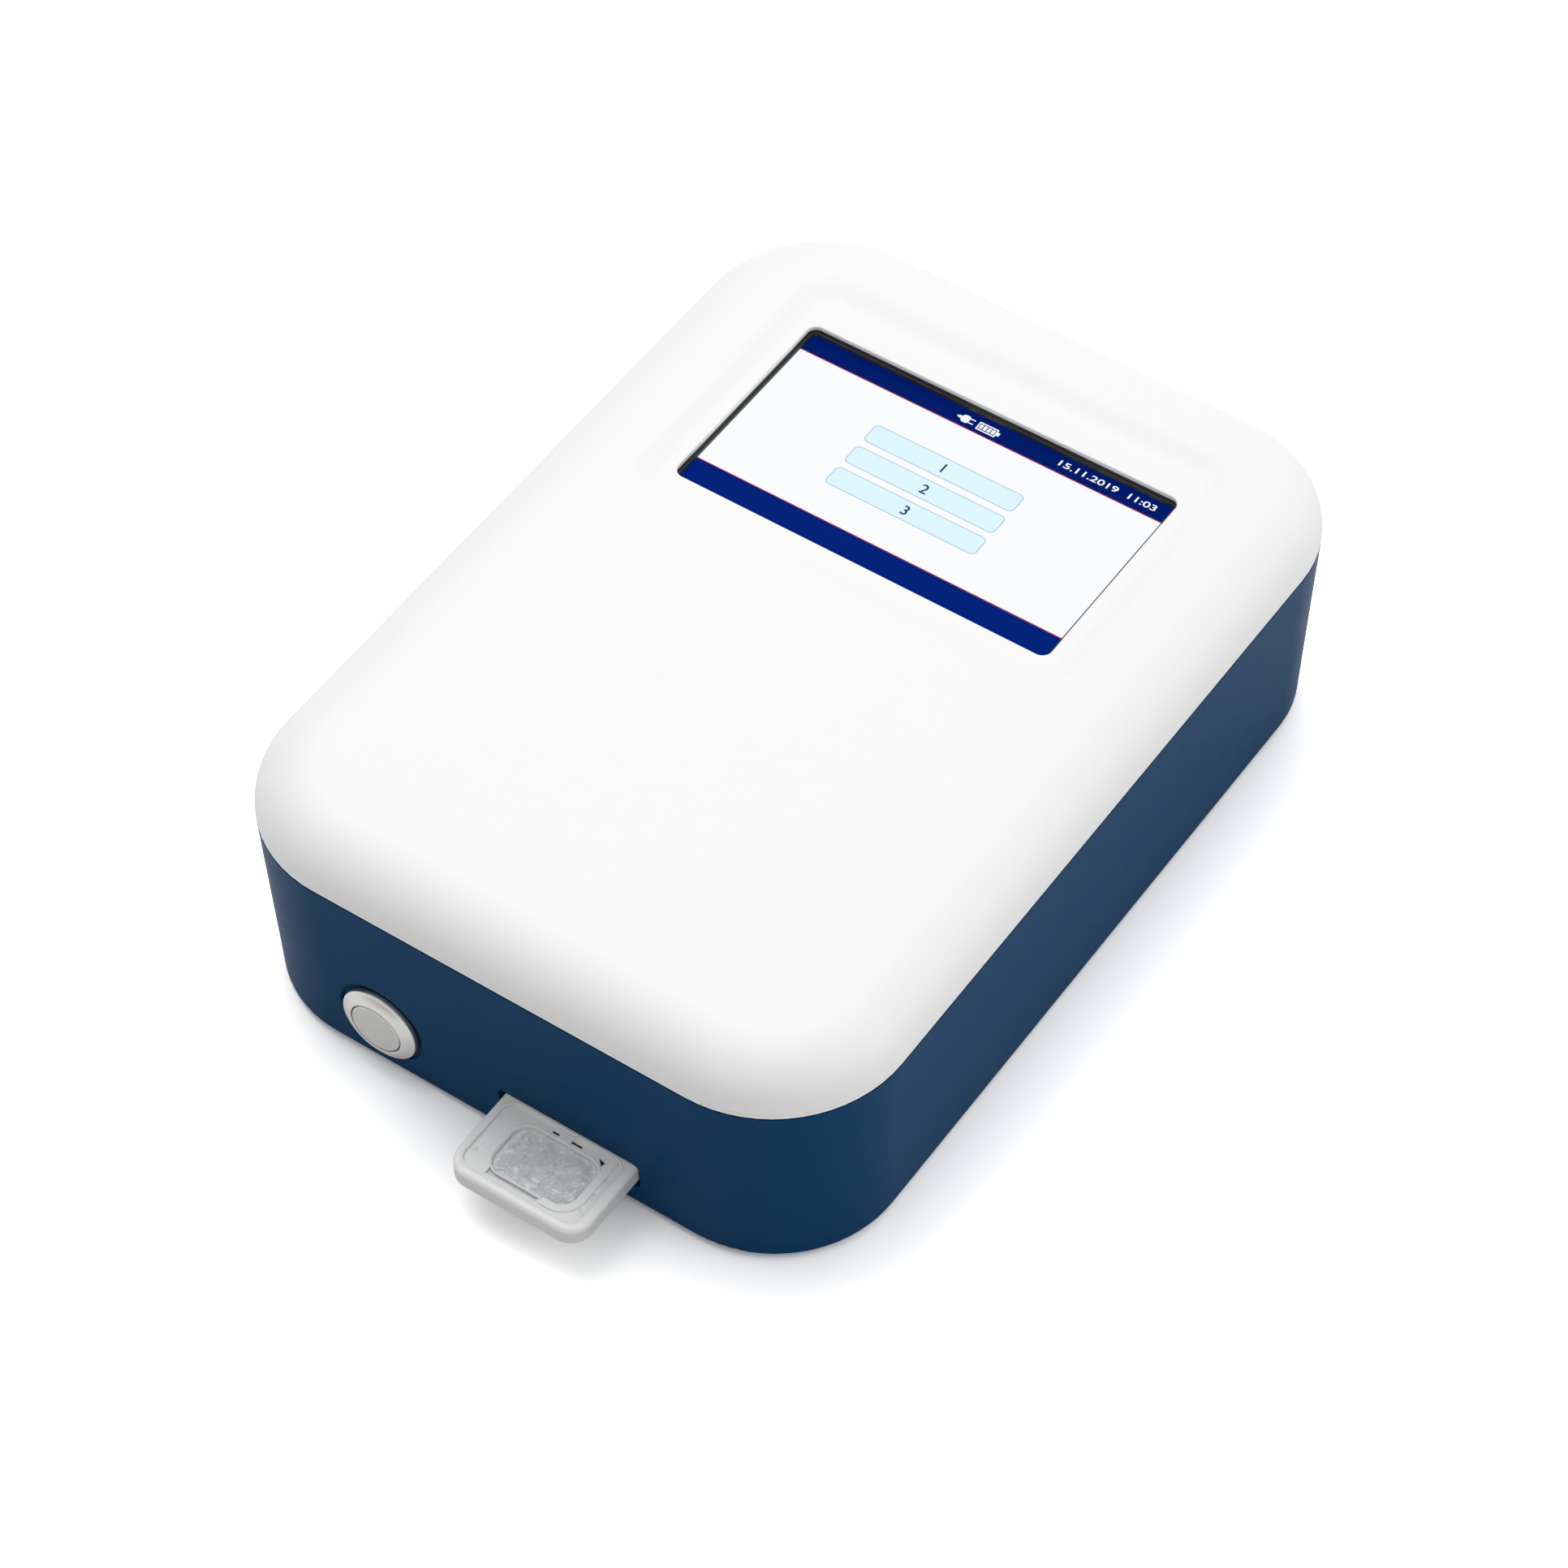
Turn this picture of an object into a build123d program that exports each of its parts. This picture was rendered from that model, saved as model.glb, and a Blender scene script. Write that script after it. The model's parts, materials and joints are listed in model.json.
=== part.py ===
"""Bench-top rapid test reader with a test cartridge in its slot.

Millimetres. X runs right along the front, Y to the back, Z up. The origin is the centre of the
body's outline on the table, under the rubber feet.
"""

import os
from math import atan, degrees

from build123d import *

os.makedirs("parts", exist_ok=True)

# ---- body outline and shells
BODY_W = 182.0  # across the front, at the seam
BODY_L = 255.0  # front to back, at the seam
FRONT_Y = -BODY_L / 2
BACK_Y = BODY_L / 2
LEFT_X = -BODY_W / 2
CORNER_R = 36.4  # plan radius of the four corners, at the seam
FOOT_GAP = 2.0  # base above the table
BASE_H = 58.3  # underside of the base to the seam
DRAFT_IN = 2.2  # how far each wall leans in, over the height of the base
WALL = 3.0
FLOOR_T = 3.0
BOTTOM_R = 1.0  # radius along the bottom edge
SEAM_GAP = 0.45  # thickness of the gasket in the seam
GASKET_INSET = 0.7  # gasket behind the outer face
COVER_H = 12.75  # gasket to the highest face
COVER_WALL = 2.8
EDGE_RUN = 17.3  # half axis of the cover's elliptical edge, along the top
EDGE_RISE = 12.2  # half axis of the same edge, upright
LIP_DROP = 4.0  # cover lip below the seam
LIP_T = 1.6
LIP_GAP = 0.3

# ---- display
DISPLAY_Y = BACK_Y - 70.85  # centre of the display
OPENING_W = 112.4
OPENING_L = 63.5
OPENING_R = 2.5
DISH_W = 131.0  # shallow dish round the display
DISH_FRONT_Y = BACK_Y - 112.9
DISH_BACK_Y = BACK_Y - 22.5
DISH_R = 10.0
DISH_SLOPE = 5.7  # plan width of the dish's sloping border
DISH_DEPTH = 1.6
RIM_T = 1.2  # cover thickness round the opening
BEZEL_GAP = 0.1
BEZEL_T = 2.3  # bezel between the cover and the glass
BEZEL_STEP = 0.45  # width of the ledge inside it
BEZEL_STEP_T = 1.1  # height of that ledge above the glass
BEZEL_FLANGE = 3.4  # bezel beyond the opening
GLASS_T = 1.1
LCD_W = 120.7
LCD_L = 75.8
LCD_T = 3.4
BRACKET_T = 1.2
BRACKET_BAR = 7.0  # width of the bracket's side bars under the panel
DISPLAY_SCREW_X = 65.0
DISPLAY_SCREW_DY = 24.0  # from the display's centre
RIBBON_X = 30.0
RIBBON_W = 20.0
RIBBON_T = 0.3
RIBBON_BEND_R = 3.0

# ---- screws
THREAD_GAP = 0.03  # screw to its thread, on the radius
COVER_SCREW_X = BODY_W / 2 - 19.0
COVER_SCREW_Y = BODY_L / 2 - 19.5
SIDE_SCREW_X = BODY_W / 2 - 10.5
COVER_SCREW_R = 1.5
COVER_SCREW_LEN = 10.0
COVER_HEAD_R = 2.8
COVER_HEAD_H = 2.4
SMALL_SCREW_R = 1.25
SMALL_SCREW_LEN = 6.0
SMALL_HEAD_R = 2.4
SMALL_HEAD_H = 1.8
TINY_SCREW_R = 1.0
TINY_SCREW_LEN = 4.0
TINY_HEAD_R = 1.8
TINY_HEAD_H = 1.3
HEAD_GAP = 0.4  # head in its counterbore, on the radius
HOLE_GAP = 0.2  # shank in a plain hole, on the radius
BOSS_JOINT_DROP = 2.0  # where base and cover bosses meet, below the seam
BASE_BOSS_R = 4.5
COVER_BOSS_R = 4.0
SCREW_GRIP = 4.0  # plastic under a cover screw's head
INSERT_R = 2.3
INSERT_L = 5.8
FLOOR_BOSS_R = 3.3

# ---- feet
FOOT_X = BODY_W / 2 - 29.0
FOOT_Y = BODY_L / 2 - 29.5
FOOT_R = 7.0
FOOT_SINK = 1.0
FOOT_EDGE_R = 0.6
FOOT_FIT = 0.1

# ---- power button
BUTTON_X = LEFT_X + 52.1
BUTTON_Z = 18.2
RECESS_R = 12.3  # counterbore in the front wall
RECESS_DEPTH = 0.9
RECESS_FLARE = 0.4  # its rim is this much wider at the wall's face
RECESS_LEAD = 3.0  # the flare goes on in front of the wall
FLANGE_R = 11.1
FLANGE_SIDE = 1.4  # height of the flange's edge
FLANGE_RISE = 1.45  # its cone, from the edge to the bore
FLANGE_EDGE_R = 0.3
SEAL_T = 0.5
BARREL_R = 9.5
BARREL_L = 20.0
BARREL_FIT = 0.15
ACTUATOR_R = 7.35
ACTUATOR_T = 5.0
ACTUATOR_EDGE_R = 0.5
BUTTON_GAP = 0.25
BUTTON_LIP = 0.3  # width of the flat round the bore
BUTTON_TRAVEL = 1.8
STEM_R = 2.0
STEM_GAP = 0.1
SPRING_R = 4.6  # mean radius
SPRING_WIRE_R = 0.4
SPRING_TURNS = 4
WELL_DEPTH = 13.0  # flange face to the barrel's inner floor
NUT_AF = 24.0
NUT_T = 3.0
NUT_PAD_R = 15.0
NUT_PAD_T = 5.5  # front wall and pad together, at the button's height
SWITCH_R = 8.0
SWITCH_L = 12.0
TERMINAL_L = 5.0

# ---- cartridge and slot
CART_W = 39.6
CART_X = LEFT_X + 109.4
CART_TOP_Z = 17.9
CART_T = 5.5  # part that shows
CART_FRONT_Y = FRONT_Y - 23.2
CART_L = 83.5
CART_CORNER_R = 6.0
CART_EDGE_R = 1.1
CART_DEEP_T = 8.4  # thicker part inside the reader
CART_DEEP_MORE = 1.4  # it is wider than the rest by this, on the left
CART_DEEP_Y = FRONT_Y + 9.5  # where it starts
CART_DEEP_R = 2.2  # its plan corners
CART_DEEP_EDGE_R = 1.8  # along its underside
LID_T = 3.0
TRAY_WALL = 1.4
RIM_W = 2.3  # raised rim of the lid
PANEL_SINK = 0.6
PANEL_BACK = 24.2  # back of the lid's sunk panel, behind the cartridge's front
WINDOW_X = 0.9  # centre of the window, right of the cartridge's centre
WINDOW_W = 24.6
WINDOW_L = 15.6
WINDOW_FRONT = 5.3  # window behind the cartridge's front
WINDOW_R = 4.5
WINDOW_STEP = 1.8  # near-left ledge beyond the window
WINDOW_STEP_X = -2.4  # centre of that ledge, from the cartridge's centre
WINDOW_STEP_W = 15.1
SHELF_DEPTH = 0.9  # shelf inside the window, below the panel
SHELF_W = 0.8
PAD_GAP = 0.1
PAD_SINK = 0.3
PAD_BEVEL = 0.5
RIDGE_W = 2.0
TONGUE_X = 0.5  # from the cartridge's centre
TONGUE_W = 3.4
TONGUE_FRONT = 0.9  # tongue in front of the slit's middle
SLIT_W = 0.6
SLIT_L = 8.8
SLIT_X = 0.9
SLIT_FRONT = 22.4  # slit behind the cartridge's front
GATE_HOLE = ((10.4, 22.3), (12.5, 21.9), (12.2, 20.5))  # from centre and front
DIMPLES = ((15.9, 18.2), (15.9, 13.0), (15.9, 7.5), (-15.4, 8.0))  # from centre and front
DIMPLE_R = 0.6
DIMPLE_DEPTH = 0.3
SLOT_GAP = 0.5  # slot round the cartridge's thick part
SLOT_R = 1.8
STRIP_COUNT = 4
STRIP_W = 4.0
STRIP_T = 0.5
STRIP_L = 44.0
STRIP_PITCH = 8.8
READ_W = 2.6
READ_L = 31.0
READ_Y = FRONT_Y + 37.5

# ---- cartridge bay
BAY_GAP = 0.3
BAY_WALL = 2.6
BAY_FRONT_Y = FRONT_Y + 6.5
BAY_LIP_W = 4.0
BAY_LIP_T = 2.0
BAY_STOP_T = 2.0
BAY_EAR_T = 2.5
BAY_EAR_Z = 8.0
BAY_EAR_W = 9.0
BAY_SCREW_OUT = 4.2  # screw beyond the bay's side
BAY_EAR_OUT = 8.0  # ear beyond the bay's side
BAY_SCREW_Y0 = FRONT_Y + 29.5
BAY_SCREW_Y1 = FRONT_Y + 51.5
DETENT_T = 0.4
DETENT_H = 4.0
DETENT_Y = FRONT_Y + 37.5
SENSOR_W = 6.0
SENSOR_H = 4.0
SENSOR_L = 5.0

# ---- scanner
PLATE_T = 1.5
PLATE_Z = 24.0  # underside of the scanner frame
PLATE_W = 68.0
PLATE_FRONT_Y = FRONT_Y + 9.5
PLATE_BACK_Y = FRONT_Y + 71.5
UPRIGHT_T = 2.0
UPRIGHT_TOP_Z = 61.5
FRAME_BOSS_R = 3.8
FRAME_SCREW_IN = 5.0  # screw inside the frame's edge
ROD_R = 2.0
ROD_Z = 40.0
ROD_DX = 25.0  # rod from the scanner's centre
RUN_GAP = 0.05  # running fit, on the radius
CARRIAGE_W = 60.0
CARRIAGE_L = 18.0
CARRIAGE_T = 7.0
CARRIAGE_Y = FRONT_Y + 22.5
SCREW_DX = -11.0
SCREW_Z = 50.0
SCREW_R = 2.5
JOURNAL_R = 1.5
NUT_R = 4.5
NUT_FLANGE_R = 6.0
NUT_FLANGE_T = 1.5
TOWER_W = 15.0
MOTOR_W = 20.0
MOTOR_L = 28.0
MOTOR_PILOT_R = 7.5
MOTOR_HOLE = 8.0  # motor screw from the motor's axis
BEARING_R = 3.0
BEARING_FLANGE_R = 4.5
OPTICS_X0 = -7.0
OPTICS_X1 = 17.0
OPTICS_L = 14.0
OPTICS_LOW_Z = 26.6
OPTICS_CHAMFER = 4.0
OPTICS_SCREW_IN = 2.5  # screw inside the block's end
BEAM_R = 3.0
LENS_R = 4.0
LENS_T = 2.4
LENS_BULGE = 1.0
FILTER_R = 4.5
FILTER_T = 1.1
FILTER_SINK = 3.0
DIODE_R = 3.7
DIODE_T = 1.6
DETECTOR_X0 = -2.0
DETECTOR_X1 = 13.0
DETECTOR_L = 15.0
DETECTOR_T = 1.6

# ---- electronics
BOARD_W = 120.0
BOARD_L = 110.0
BOARD_Y = BACK_Y - 64.5
BOARD_T = 1.6
BOARD_LIFT = 6.0
BOARD_HOLE_IN = 5.0
CHIPS = (  # x and y from the board's centre, width, length, height
    (10.0, -3.0, 14.0, 14.0, 1.4),
    (30.0, -1.0, 11.0, 9.0, 1.1),
    (-20.0, 21.0, 7.0, 7.0, 1.0),
    (-34.0, 21.0, 8.0, 8.0, 4.5),
    (-20.0, 35.0, 8.0, 8.0, 4.5),
    (-40.0, -45.0, 10.0, 6.0, 7.0),
    (20.0, -47.0, 12.0, 5.0, 5.0),
    (0.0, -29.0, 20.0, 8.0, 1.6),
)
CAPACITORS = ((-48.0, 7.0), (-48.0, -5.0), (8.0, 21.0))
CAPACITOR_R = 4.0
CAPACITOR_H = 10.0
RIBBON_SOCKET_Y = BACK_Y - 27.0
RIBBON_SOCKET_L = 5.0
RIBBON_SOCKET_H = 2.5
BUZZER_X = 48.0
BUZZER_Y = BACK_Y - 97.5
BUZZER_R = 6.0
BUZZER_H = 8.5
INLET_X = -40.0
INLET_W = 9.0
INLET_H = 11.0
INLET_L = 14.0
INLET_BORE_R = 2.8
INLET_PIN_R = 1.0
INLET_BORE_Z = 6.5  # above the board
INLET_HOLE_R = 5.2
USB_X = 35.0
USB_W = 13.2
USB_H = 5.8
USB_L = 16.0
USB_SHELL_T = 0.4
USB_TONGUE_T = 2.0
USB_GAP = 0.5
USB_TONGUE_IN = 1.3  # tongue inside the shell, each side
PORT_SETBACK = 0.5  # socket face inside the wall's outer face

# ---- battery
CELL_R = 9.3
CELL_L = 66.0
BATTERY_X = LEFT_X + 41.0
BATTERY_Y = FRONT_Y + 70.5
BATTERY_EDGE_R = 1.5
STRAP_W = 24.0
STRAP_T = 1.2
STRAP_FOOT = 9.0
STRAP_BEND_R = 5.0

# ---- places that follow from the sizes above
SEAM_Z = FOOT_GAP + BASE_H
COVER_Z = SEAM_Z + SEAM_GAP
TOP_Z = COVER_Z + COVER_H
FLOOR_Z = FOOT_GAP + FLOOR_T
DRAFT = degrees(atan(DRAFT_IN / BASE_H))
RIM_Z = TOP_Z - DISH_DEPTH
GLASS_Z = RIM_Z - RIM_T - BEZEL_T  # top face of the glass
LCD_Z = GLASS_Z - GLASS_T  # top face of the panel
BRACKET_Z = LCD_Z - LCD_T  # top face of the bracket
BOSS_JOINT_Z = SEAM_Z - BOSS_JOINT_DROP
ON_END = (Align.CENTER, Align.CENTER, Align.MIN)
UNDER = (Align.CENTER, Align.CENTER, Align.MAX)


def wall_y(z):
    """Distance of the front and back walls' outer faces from the centre, at height z."""
    return BODY_L / 2 - DRAFT_IN * (SEAM_Z - z) / BASE_H


def save(piece, label):
    piece.part.label = label
    export_step(piece.part, f"parts/{label}.step")


def facing_front(y):
    """Upright plane at y: local x is X, local y is Z, and it faces the front."""
    return Plane.XZ.offset(-y)


def corners(dx, dy, x=0.0, y=0.0):
    return [(x + sx * dx, y + sy * dy) for sx in (-1, 1) for sy in (-1, 1)]


def posts(points, radius, low_z, high_z, mode=Mode.ADD):
    """Upright cylinders of one size."""
    with Locations([(x, y, low_z) for x, y in points]):
        Cylinder(radius, high_z - low_z, align=ON_END, mode=mode)


def slab(x0, x1, y0, y1, z0, z1, mode=Mode.ADD):
    """Block between two corners."""
    with Locations(((x0 + x1) / 2, (y0 + y1) / 2, z0)):
        Box(x1 - x0, y1 - y0, z1 - z0, align=ON_END, mode=mode)


def turned(x, z, profile):
    """Solid turned about the line along Y through (x, z), from (radius, y) points."""
    with BuildPart() as blank:
        with BuildSketch(Plane((x, 0, z), x_dir=(1, 0, 0), z_dir=(0, 0, 1))):
            with BuildLine():
                Polyline(*profile, close=True)
            make_face()
        revolve(axis=Axis((x, 0, z), (0, 1, 0)))
    return blank.part


def grown(width, length, radius, more):
    """Rounded rectangle, grown all round."""
    RectangleRounded(width + 2 * more, length + 2 * more, radius + more)


def screw(shank_r, length, head_r, head_h):
    """Screw pointing up, the underside of its head at the origin, with a six-sided socket."""
    with BuildPart() as body:
        Cylinder(head_r, head_h, align=UNDER)
        fillet(body.edges().sort_by(Axis.Z)[:1], head_h * 0.35)
        Cylinder(shank_r, length, align=ON_END)
        chamfer(body.edges().sort_by(Axis.Z)[-1:], shank_r * 0.25)
        with BuildSketch(Plane.XY.offset(-head_h)):
            RegularPolygon(head_r * 0.5, 6)
        extrude(amount=head_h * 0.6, mode=Mode.SUBTRACT)
    return body.part


def pointing_down(points, z):
    return [Location((x, y, z), (180, 0, 0)) for x, y in points]


def plan_face(inset):
    """The body's outline at the seam, drawn in by inset."""
    RectangleRounded(BODY_W - 2 * inset, BODY_L - 2 * inset, CORNER_R - inset)


def drafted_block(depth, inset):
    """Block below the seam whose walls lean in."""
    with BuildPart() as block:
        with BuildSketch(Plane.XY.offset(SEAM_Z)):
            plan_face(inset)
        extrude(amount=-depth, taper=DRAFT)
    return block.part


def domed_block(low_z, top_z, inset, run, rise):
    """Block above the seam whose upper edge is a quarter ellipse all round."""
    half_w = BODY_W / 2 - inset
    half_l = BODY_L / 2 - inset
    radius = CORNER_R - inset
    spare = 1.0
    with BuildPart() as block:
        with BuildSketch(Plane.XY.offset(low_z)):
            plan_face(inset)
        extrude(amount=top_z - low_z)
        with BuildLine(Plane.XY.offset(top_z)) as path:
            Line((0, -half_l), (half_w - radius, -half_l))
            CenterArc((half_w - radius, radius - half_l), radius, -90, 90)
            Line((half_w, radius - half_l), (half_w, half_l - radius))
            CenterArc((half_w - radius, half_l - radius), radius, 0, 90)
            Line((half_w - radius, half_l), (radius - half_w, half_l))
            CenterArc((radius - half_w, half_l - radius), radius, 90, 90)
            Line((-half_w, half_l - radius), (-half_w, radius - half_l))
            CenterArc((radius - half_w, radius - half_l), radius, 180, 90)
            Line((radius - half_w, -half_l), (0, -half_l))
        with BuildSketch(Plane.YZ):
            with BuildLine():
                EllipticalCenterArc(
                    (-half_l + run, top_z - rise), run, rise, start_angle=90, arc_size=90
                )
                Polyline(
                    (-half_l, top_z - rise),
                    (-half_l - spare, top_z - rise),
                    (-half_l - spare, top_z + spare),
                    (-half_l + run, top_z + spare),
                    (-half_l + run, top_z),
                )
            make_face()
        sweep(path=path.wire(), mode=Mode.SUBTRACT)
    return block.part


def dish_plane(z):
    """Level plane at height z, centred on the display's dish."""
    return Plane((0, (DISH_FRONT_Y + DISH_BACK_Y) / 2, z))


def dish_face(grow):
    """Outline of the display's dish, grown all round."""
    length = DISH_BACK_Y - DISH_FRONT_Y
    RectangleRounded(DISH_W + 2 * grow, length + 2 * grow, DISH_R + grow)


cover_screw_points = corners(COVER_SCREW_X, COVER_SCREW_Y) + [(-SIDE_SCREW_X, 0), (SIDE_SCREW_X, 0)]
foot_points = corners(FOOT_X, FOOT_Y)
display_screw_points = corners(DISPLAY_SCREW_X, DISPLAY_SCREW_DY, y=DISPLAY_Y)
board_hole_points = corners(
    BOARD_W / 2 - BOARD_HOLE_IN, BOARD_L / 2 - BOARD_HOLE_IN, y=BOARD_Y
)
frame_screw_points = corners(
    PLATE_W / 2 - FRAME_SCREW_IN,
    (PLATE_BACK_Y - PLATE_FRONT_Y) / 2 - FRAME_SCREW_IN,
    x=CART_X,
    y=(PLATE_BACK_Y + PLATE_FRONT_Y) / 2,
)
CART_X0 = CART_X - CART_W / 2
CART_X1 = CART_X + CART_W / 2
CART_DEEP_X0 = CART_X0 - CART_DEEP_MORE
CART_DEEP_W = CART_X1 - CART_DEEP_X0
CART_LOW_Z = CART_TOP_Z - CART_DEEP_T
SLOT_X0 = CART_DEEP_X0 - SLOT_GAP
SLOT_X1 = CART_X1 + SLOT_GAP
SLOT_Z0 = CART_LOW_Z - SLOT_GAP
SLOT_Z1 = CART_TOP_Z + SLOT_GAP
CART_BACK_Y = CART_FRONT_Y + CART_L
BAY_X0 = CART_DEEP_X0 - BAY_GAP - BAY_WALL
BAY_X1 = CART_X1 + BAY_GAP + BAY_WALL
BAY_BACK_Y = CART_BACK_Y + BAY_GAP + BAY_STOP_T
bay_screw_points = [
    (x, y)
    for x in (BAY_X0 - BAY_SCREW_OUT, BAY_X1 + BAY_SCREW_OUT)
    for y in (BAY_SCREW_Y0, BAY_SCREW_Y1)
]
STRAP_DY = 2 * CELL_R + STRAP_T + STRAP_FOOT / 2
strap_screw_points = [(BATTERY_X, BATTERY_Y - STRAP_DY), (BATTERY_X, BATTERY_Y + STRAP_DY)]
BOARD_Z = FLOOR_Z + BOARD_LIFT
BOARD_TOP_Z = BOARD_Z + BOARD_T
INLET_Z = BOARD_TOP_Z + INLET_BORE_Z
USB_Z = BOARD_TOP_Z + USB_H / 2
BUTTON_FACE_Y = -wall_y(BUTTON_Z)
SEAL_Y = BUTTON_FACE_Y + RECESS_DEPTH  # floor of the button's recess
FLANGE_BACK_Y = SEAL_Y - SEAL_T
FLANGE_EDGE_Y = FLANGE_BACK_Y - FLANGE_SIDE
FLANGE_FRONT_Y = FLANGE_EDGE_Y - FLANGE_RISE
NUT_Y = BUTTON_FACE_Y + NUT_PAD_T

# ---- base housing
with BuildPart() as base_housing:
    add(drafted_block(BASE_H, 0))
    fillet(base_housing.faces().sort_by(Axis.Z)[0].edges(), BOTTOM_R)
    add(drafted_block(BASE_H - FLOOR_T, WALL), mode=Mode.SUBTRACT)
    # bosses: cover screws, board, bay, scanner frame, battery strap
    posts(cover_screw_points, BASE_BOSS_R, FOOT_GAP + FLOOR_T / 2, BOSS_JOINT_Z)
    screw_seat_z = BOSS_JOINT_Z - SCREW_GRIP
    posts(cover_screw_points, COVER_SCREW_R + HOLE_GAP, 0, SEAM_Z, Mode.SUBTRACT)
    posts(cover_screw_points, COVER_HEAD_R + HEAD_GAP, 0, screw_seat_z, Mode.SUBTRACT)
    small_bosses = (
        (board_hole_points, BOARD_Z, FLOOR_BOSS_R),
        (bay_screw_points, BAY_EAR_Z, FLOOR_BOSS_R),
        (frame_screw_points, PLATE_Z, FRAME_BOSS_R),
        (strap_screw_points, BAY_EAR_Z, FLOOR_BOSS_R),
    )
    for points, top, radius in small_bosses:
        posts(points, radius, FLOOR_Z - FLOOR_T / 2, top)
        posts(points, SMALL_SCREW_R + THREAD_GAP, top - SMALL_SCREW_LEN + 1, top, Mode.SUBTRACT)
    posts(foot_points, FOOT_R, FOOT_GAP - 1, FOOT_GAP + FOOT_SINK, Mode.SUBTRACT)
    # flat pad behind the front wall for the button's nut
    with BuildSketch(facing_front(NUT_Y)):
        with Locations((BUTTON_X, BUTTON_Z)):
            Circle(NUT_PAD_R)
    extrude(amount=NUT_PAD_T - WALL / 2)
    # button hole with its recess and softened rim
    add(
        turned(
            BUTTON_X,
            BUTTON_Z,
            [
                (0, BUTTON_FACE_Y - RECESS_LEAD),
                (RECESS_R + RECESS_FLARE + RECESS_LEAD, BUTTON_FACE_Y - RECESS_LEAD),
                (RECESS_R, BUTTON_FACE_Y + RECESS_FLARE),
                (RECESS_R, SEAL_Y),
                (BARREL_R + BARREL_FIT, SEAL_Y),
                (BARREL_R + BARREL_FIT, NUT_Y + 1),
                (0, NUT_Y + 1),
            ],
        ),
        mode=Mode.SUBTRACT,
    )
    # cartridge slot
    with BuildSketch(facing_front(-BODY_L / 2 - 1)):
        with Locations(((SLOT_X0 + SLOT_X1) / 2, (SLOT_Z0 + SLOT_Z1) / 2)):
            RectangleRounded(SLOT_X1 - SLOT_X0, SLOT_Z1 - SLOT_Z0, SLOT_R)
    extrude(amount=-(WALL + DRAFT_IN + 2), mode=Mode.SUBTRACT)
    # sockets in the back wall
    with BuildSketch(facing_front(BODY_L / 2 + 1)):
        with Locations((INLET_X, INLET_Z)):
            Circle(INLET_HOLE_R)
        with Locations((USB_X, USB_Z)):
            RectangleRounded(USB_W + 2 * USB_GAP, USB_H + 2 * USB_GAP, USB_GAP)
    extrude(amount=WALL + DRAFT_IN + 2, mode=Mode.SUBTRACT)
save(base_housing, "base_housing")

# ---- rubber feet
with BuildPart() as rubber_feet:
    posts(foot_points, FOOT_R - FOOT_FIT, 0, FOOT_GAP + FOOT_SINK)
    fillet(rubber_feet.edges().group_by(Axis.Z)[0], FOOT_EDGE_R)
save(rubber_feet, "rubber_feet")

# ---- seam gasket
with BuildPart() as seam_gasket:
    with BuildSketch(Plane.XY.offset(SEAM_Z)):
        plan_face(GASKET_INSET)
        with BuildSketch(Plane.XY.offset(SEAM_Z), mode=Mode.SUBTRACT):
            plan_face(COVER_WALL)
    extrude(amount=SEAM_GAP)
save(seam_gasket, "seam_gasket")

# ---- top cover
with BuildPart() as cover_bosses:
    posts(cover_screw_points, COVER_BOSS_R, BOSS_JOINT_Z, TOP_Z)
    add(
        domed_block(BOSS_JOINT_Z, TOP_Z - 1, 1, EDGE_RUN - 1, EDGE_RISE - 1),
        mode=Mode.INTERSECT,
    )

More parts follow.
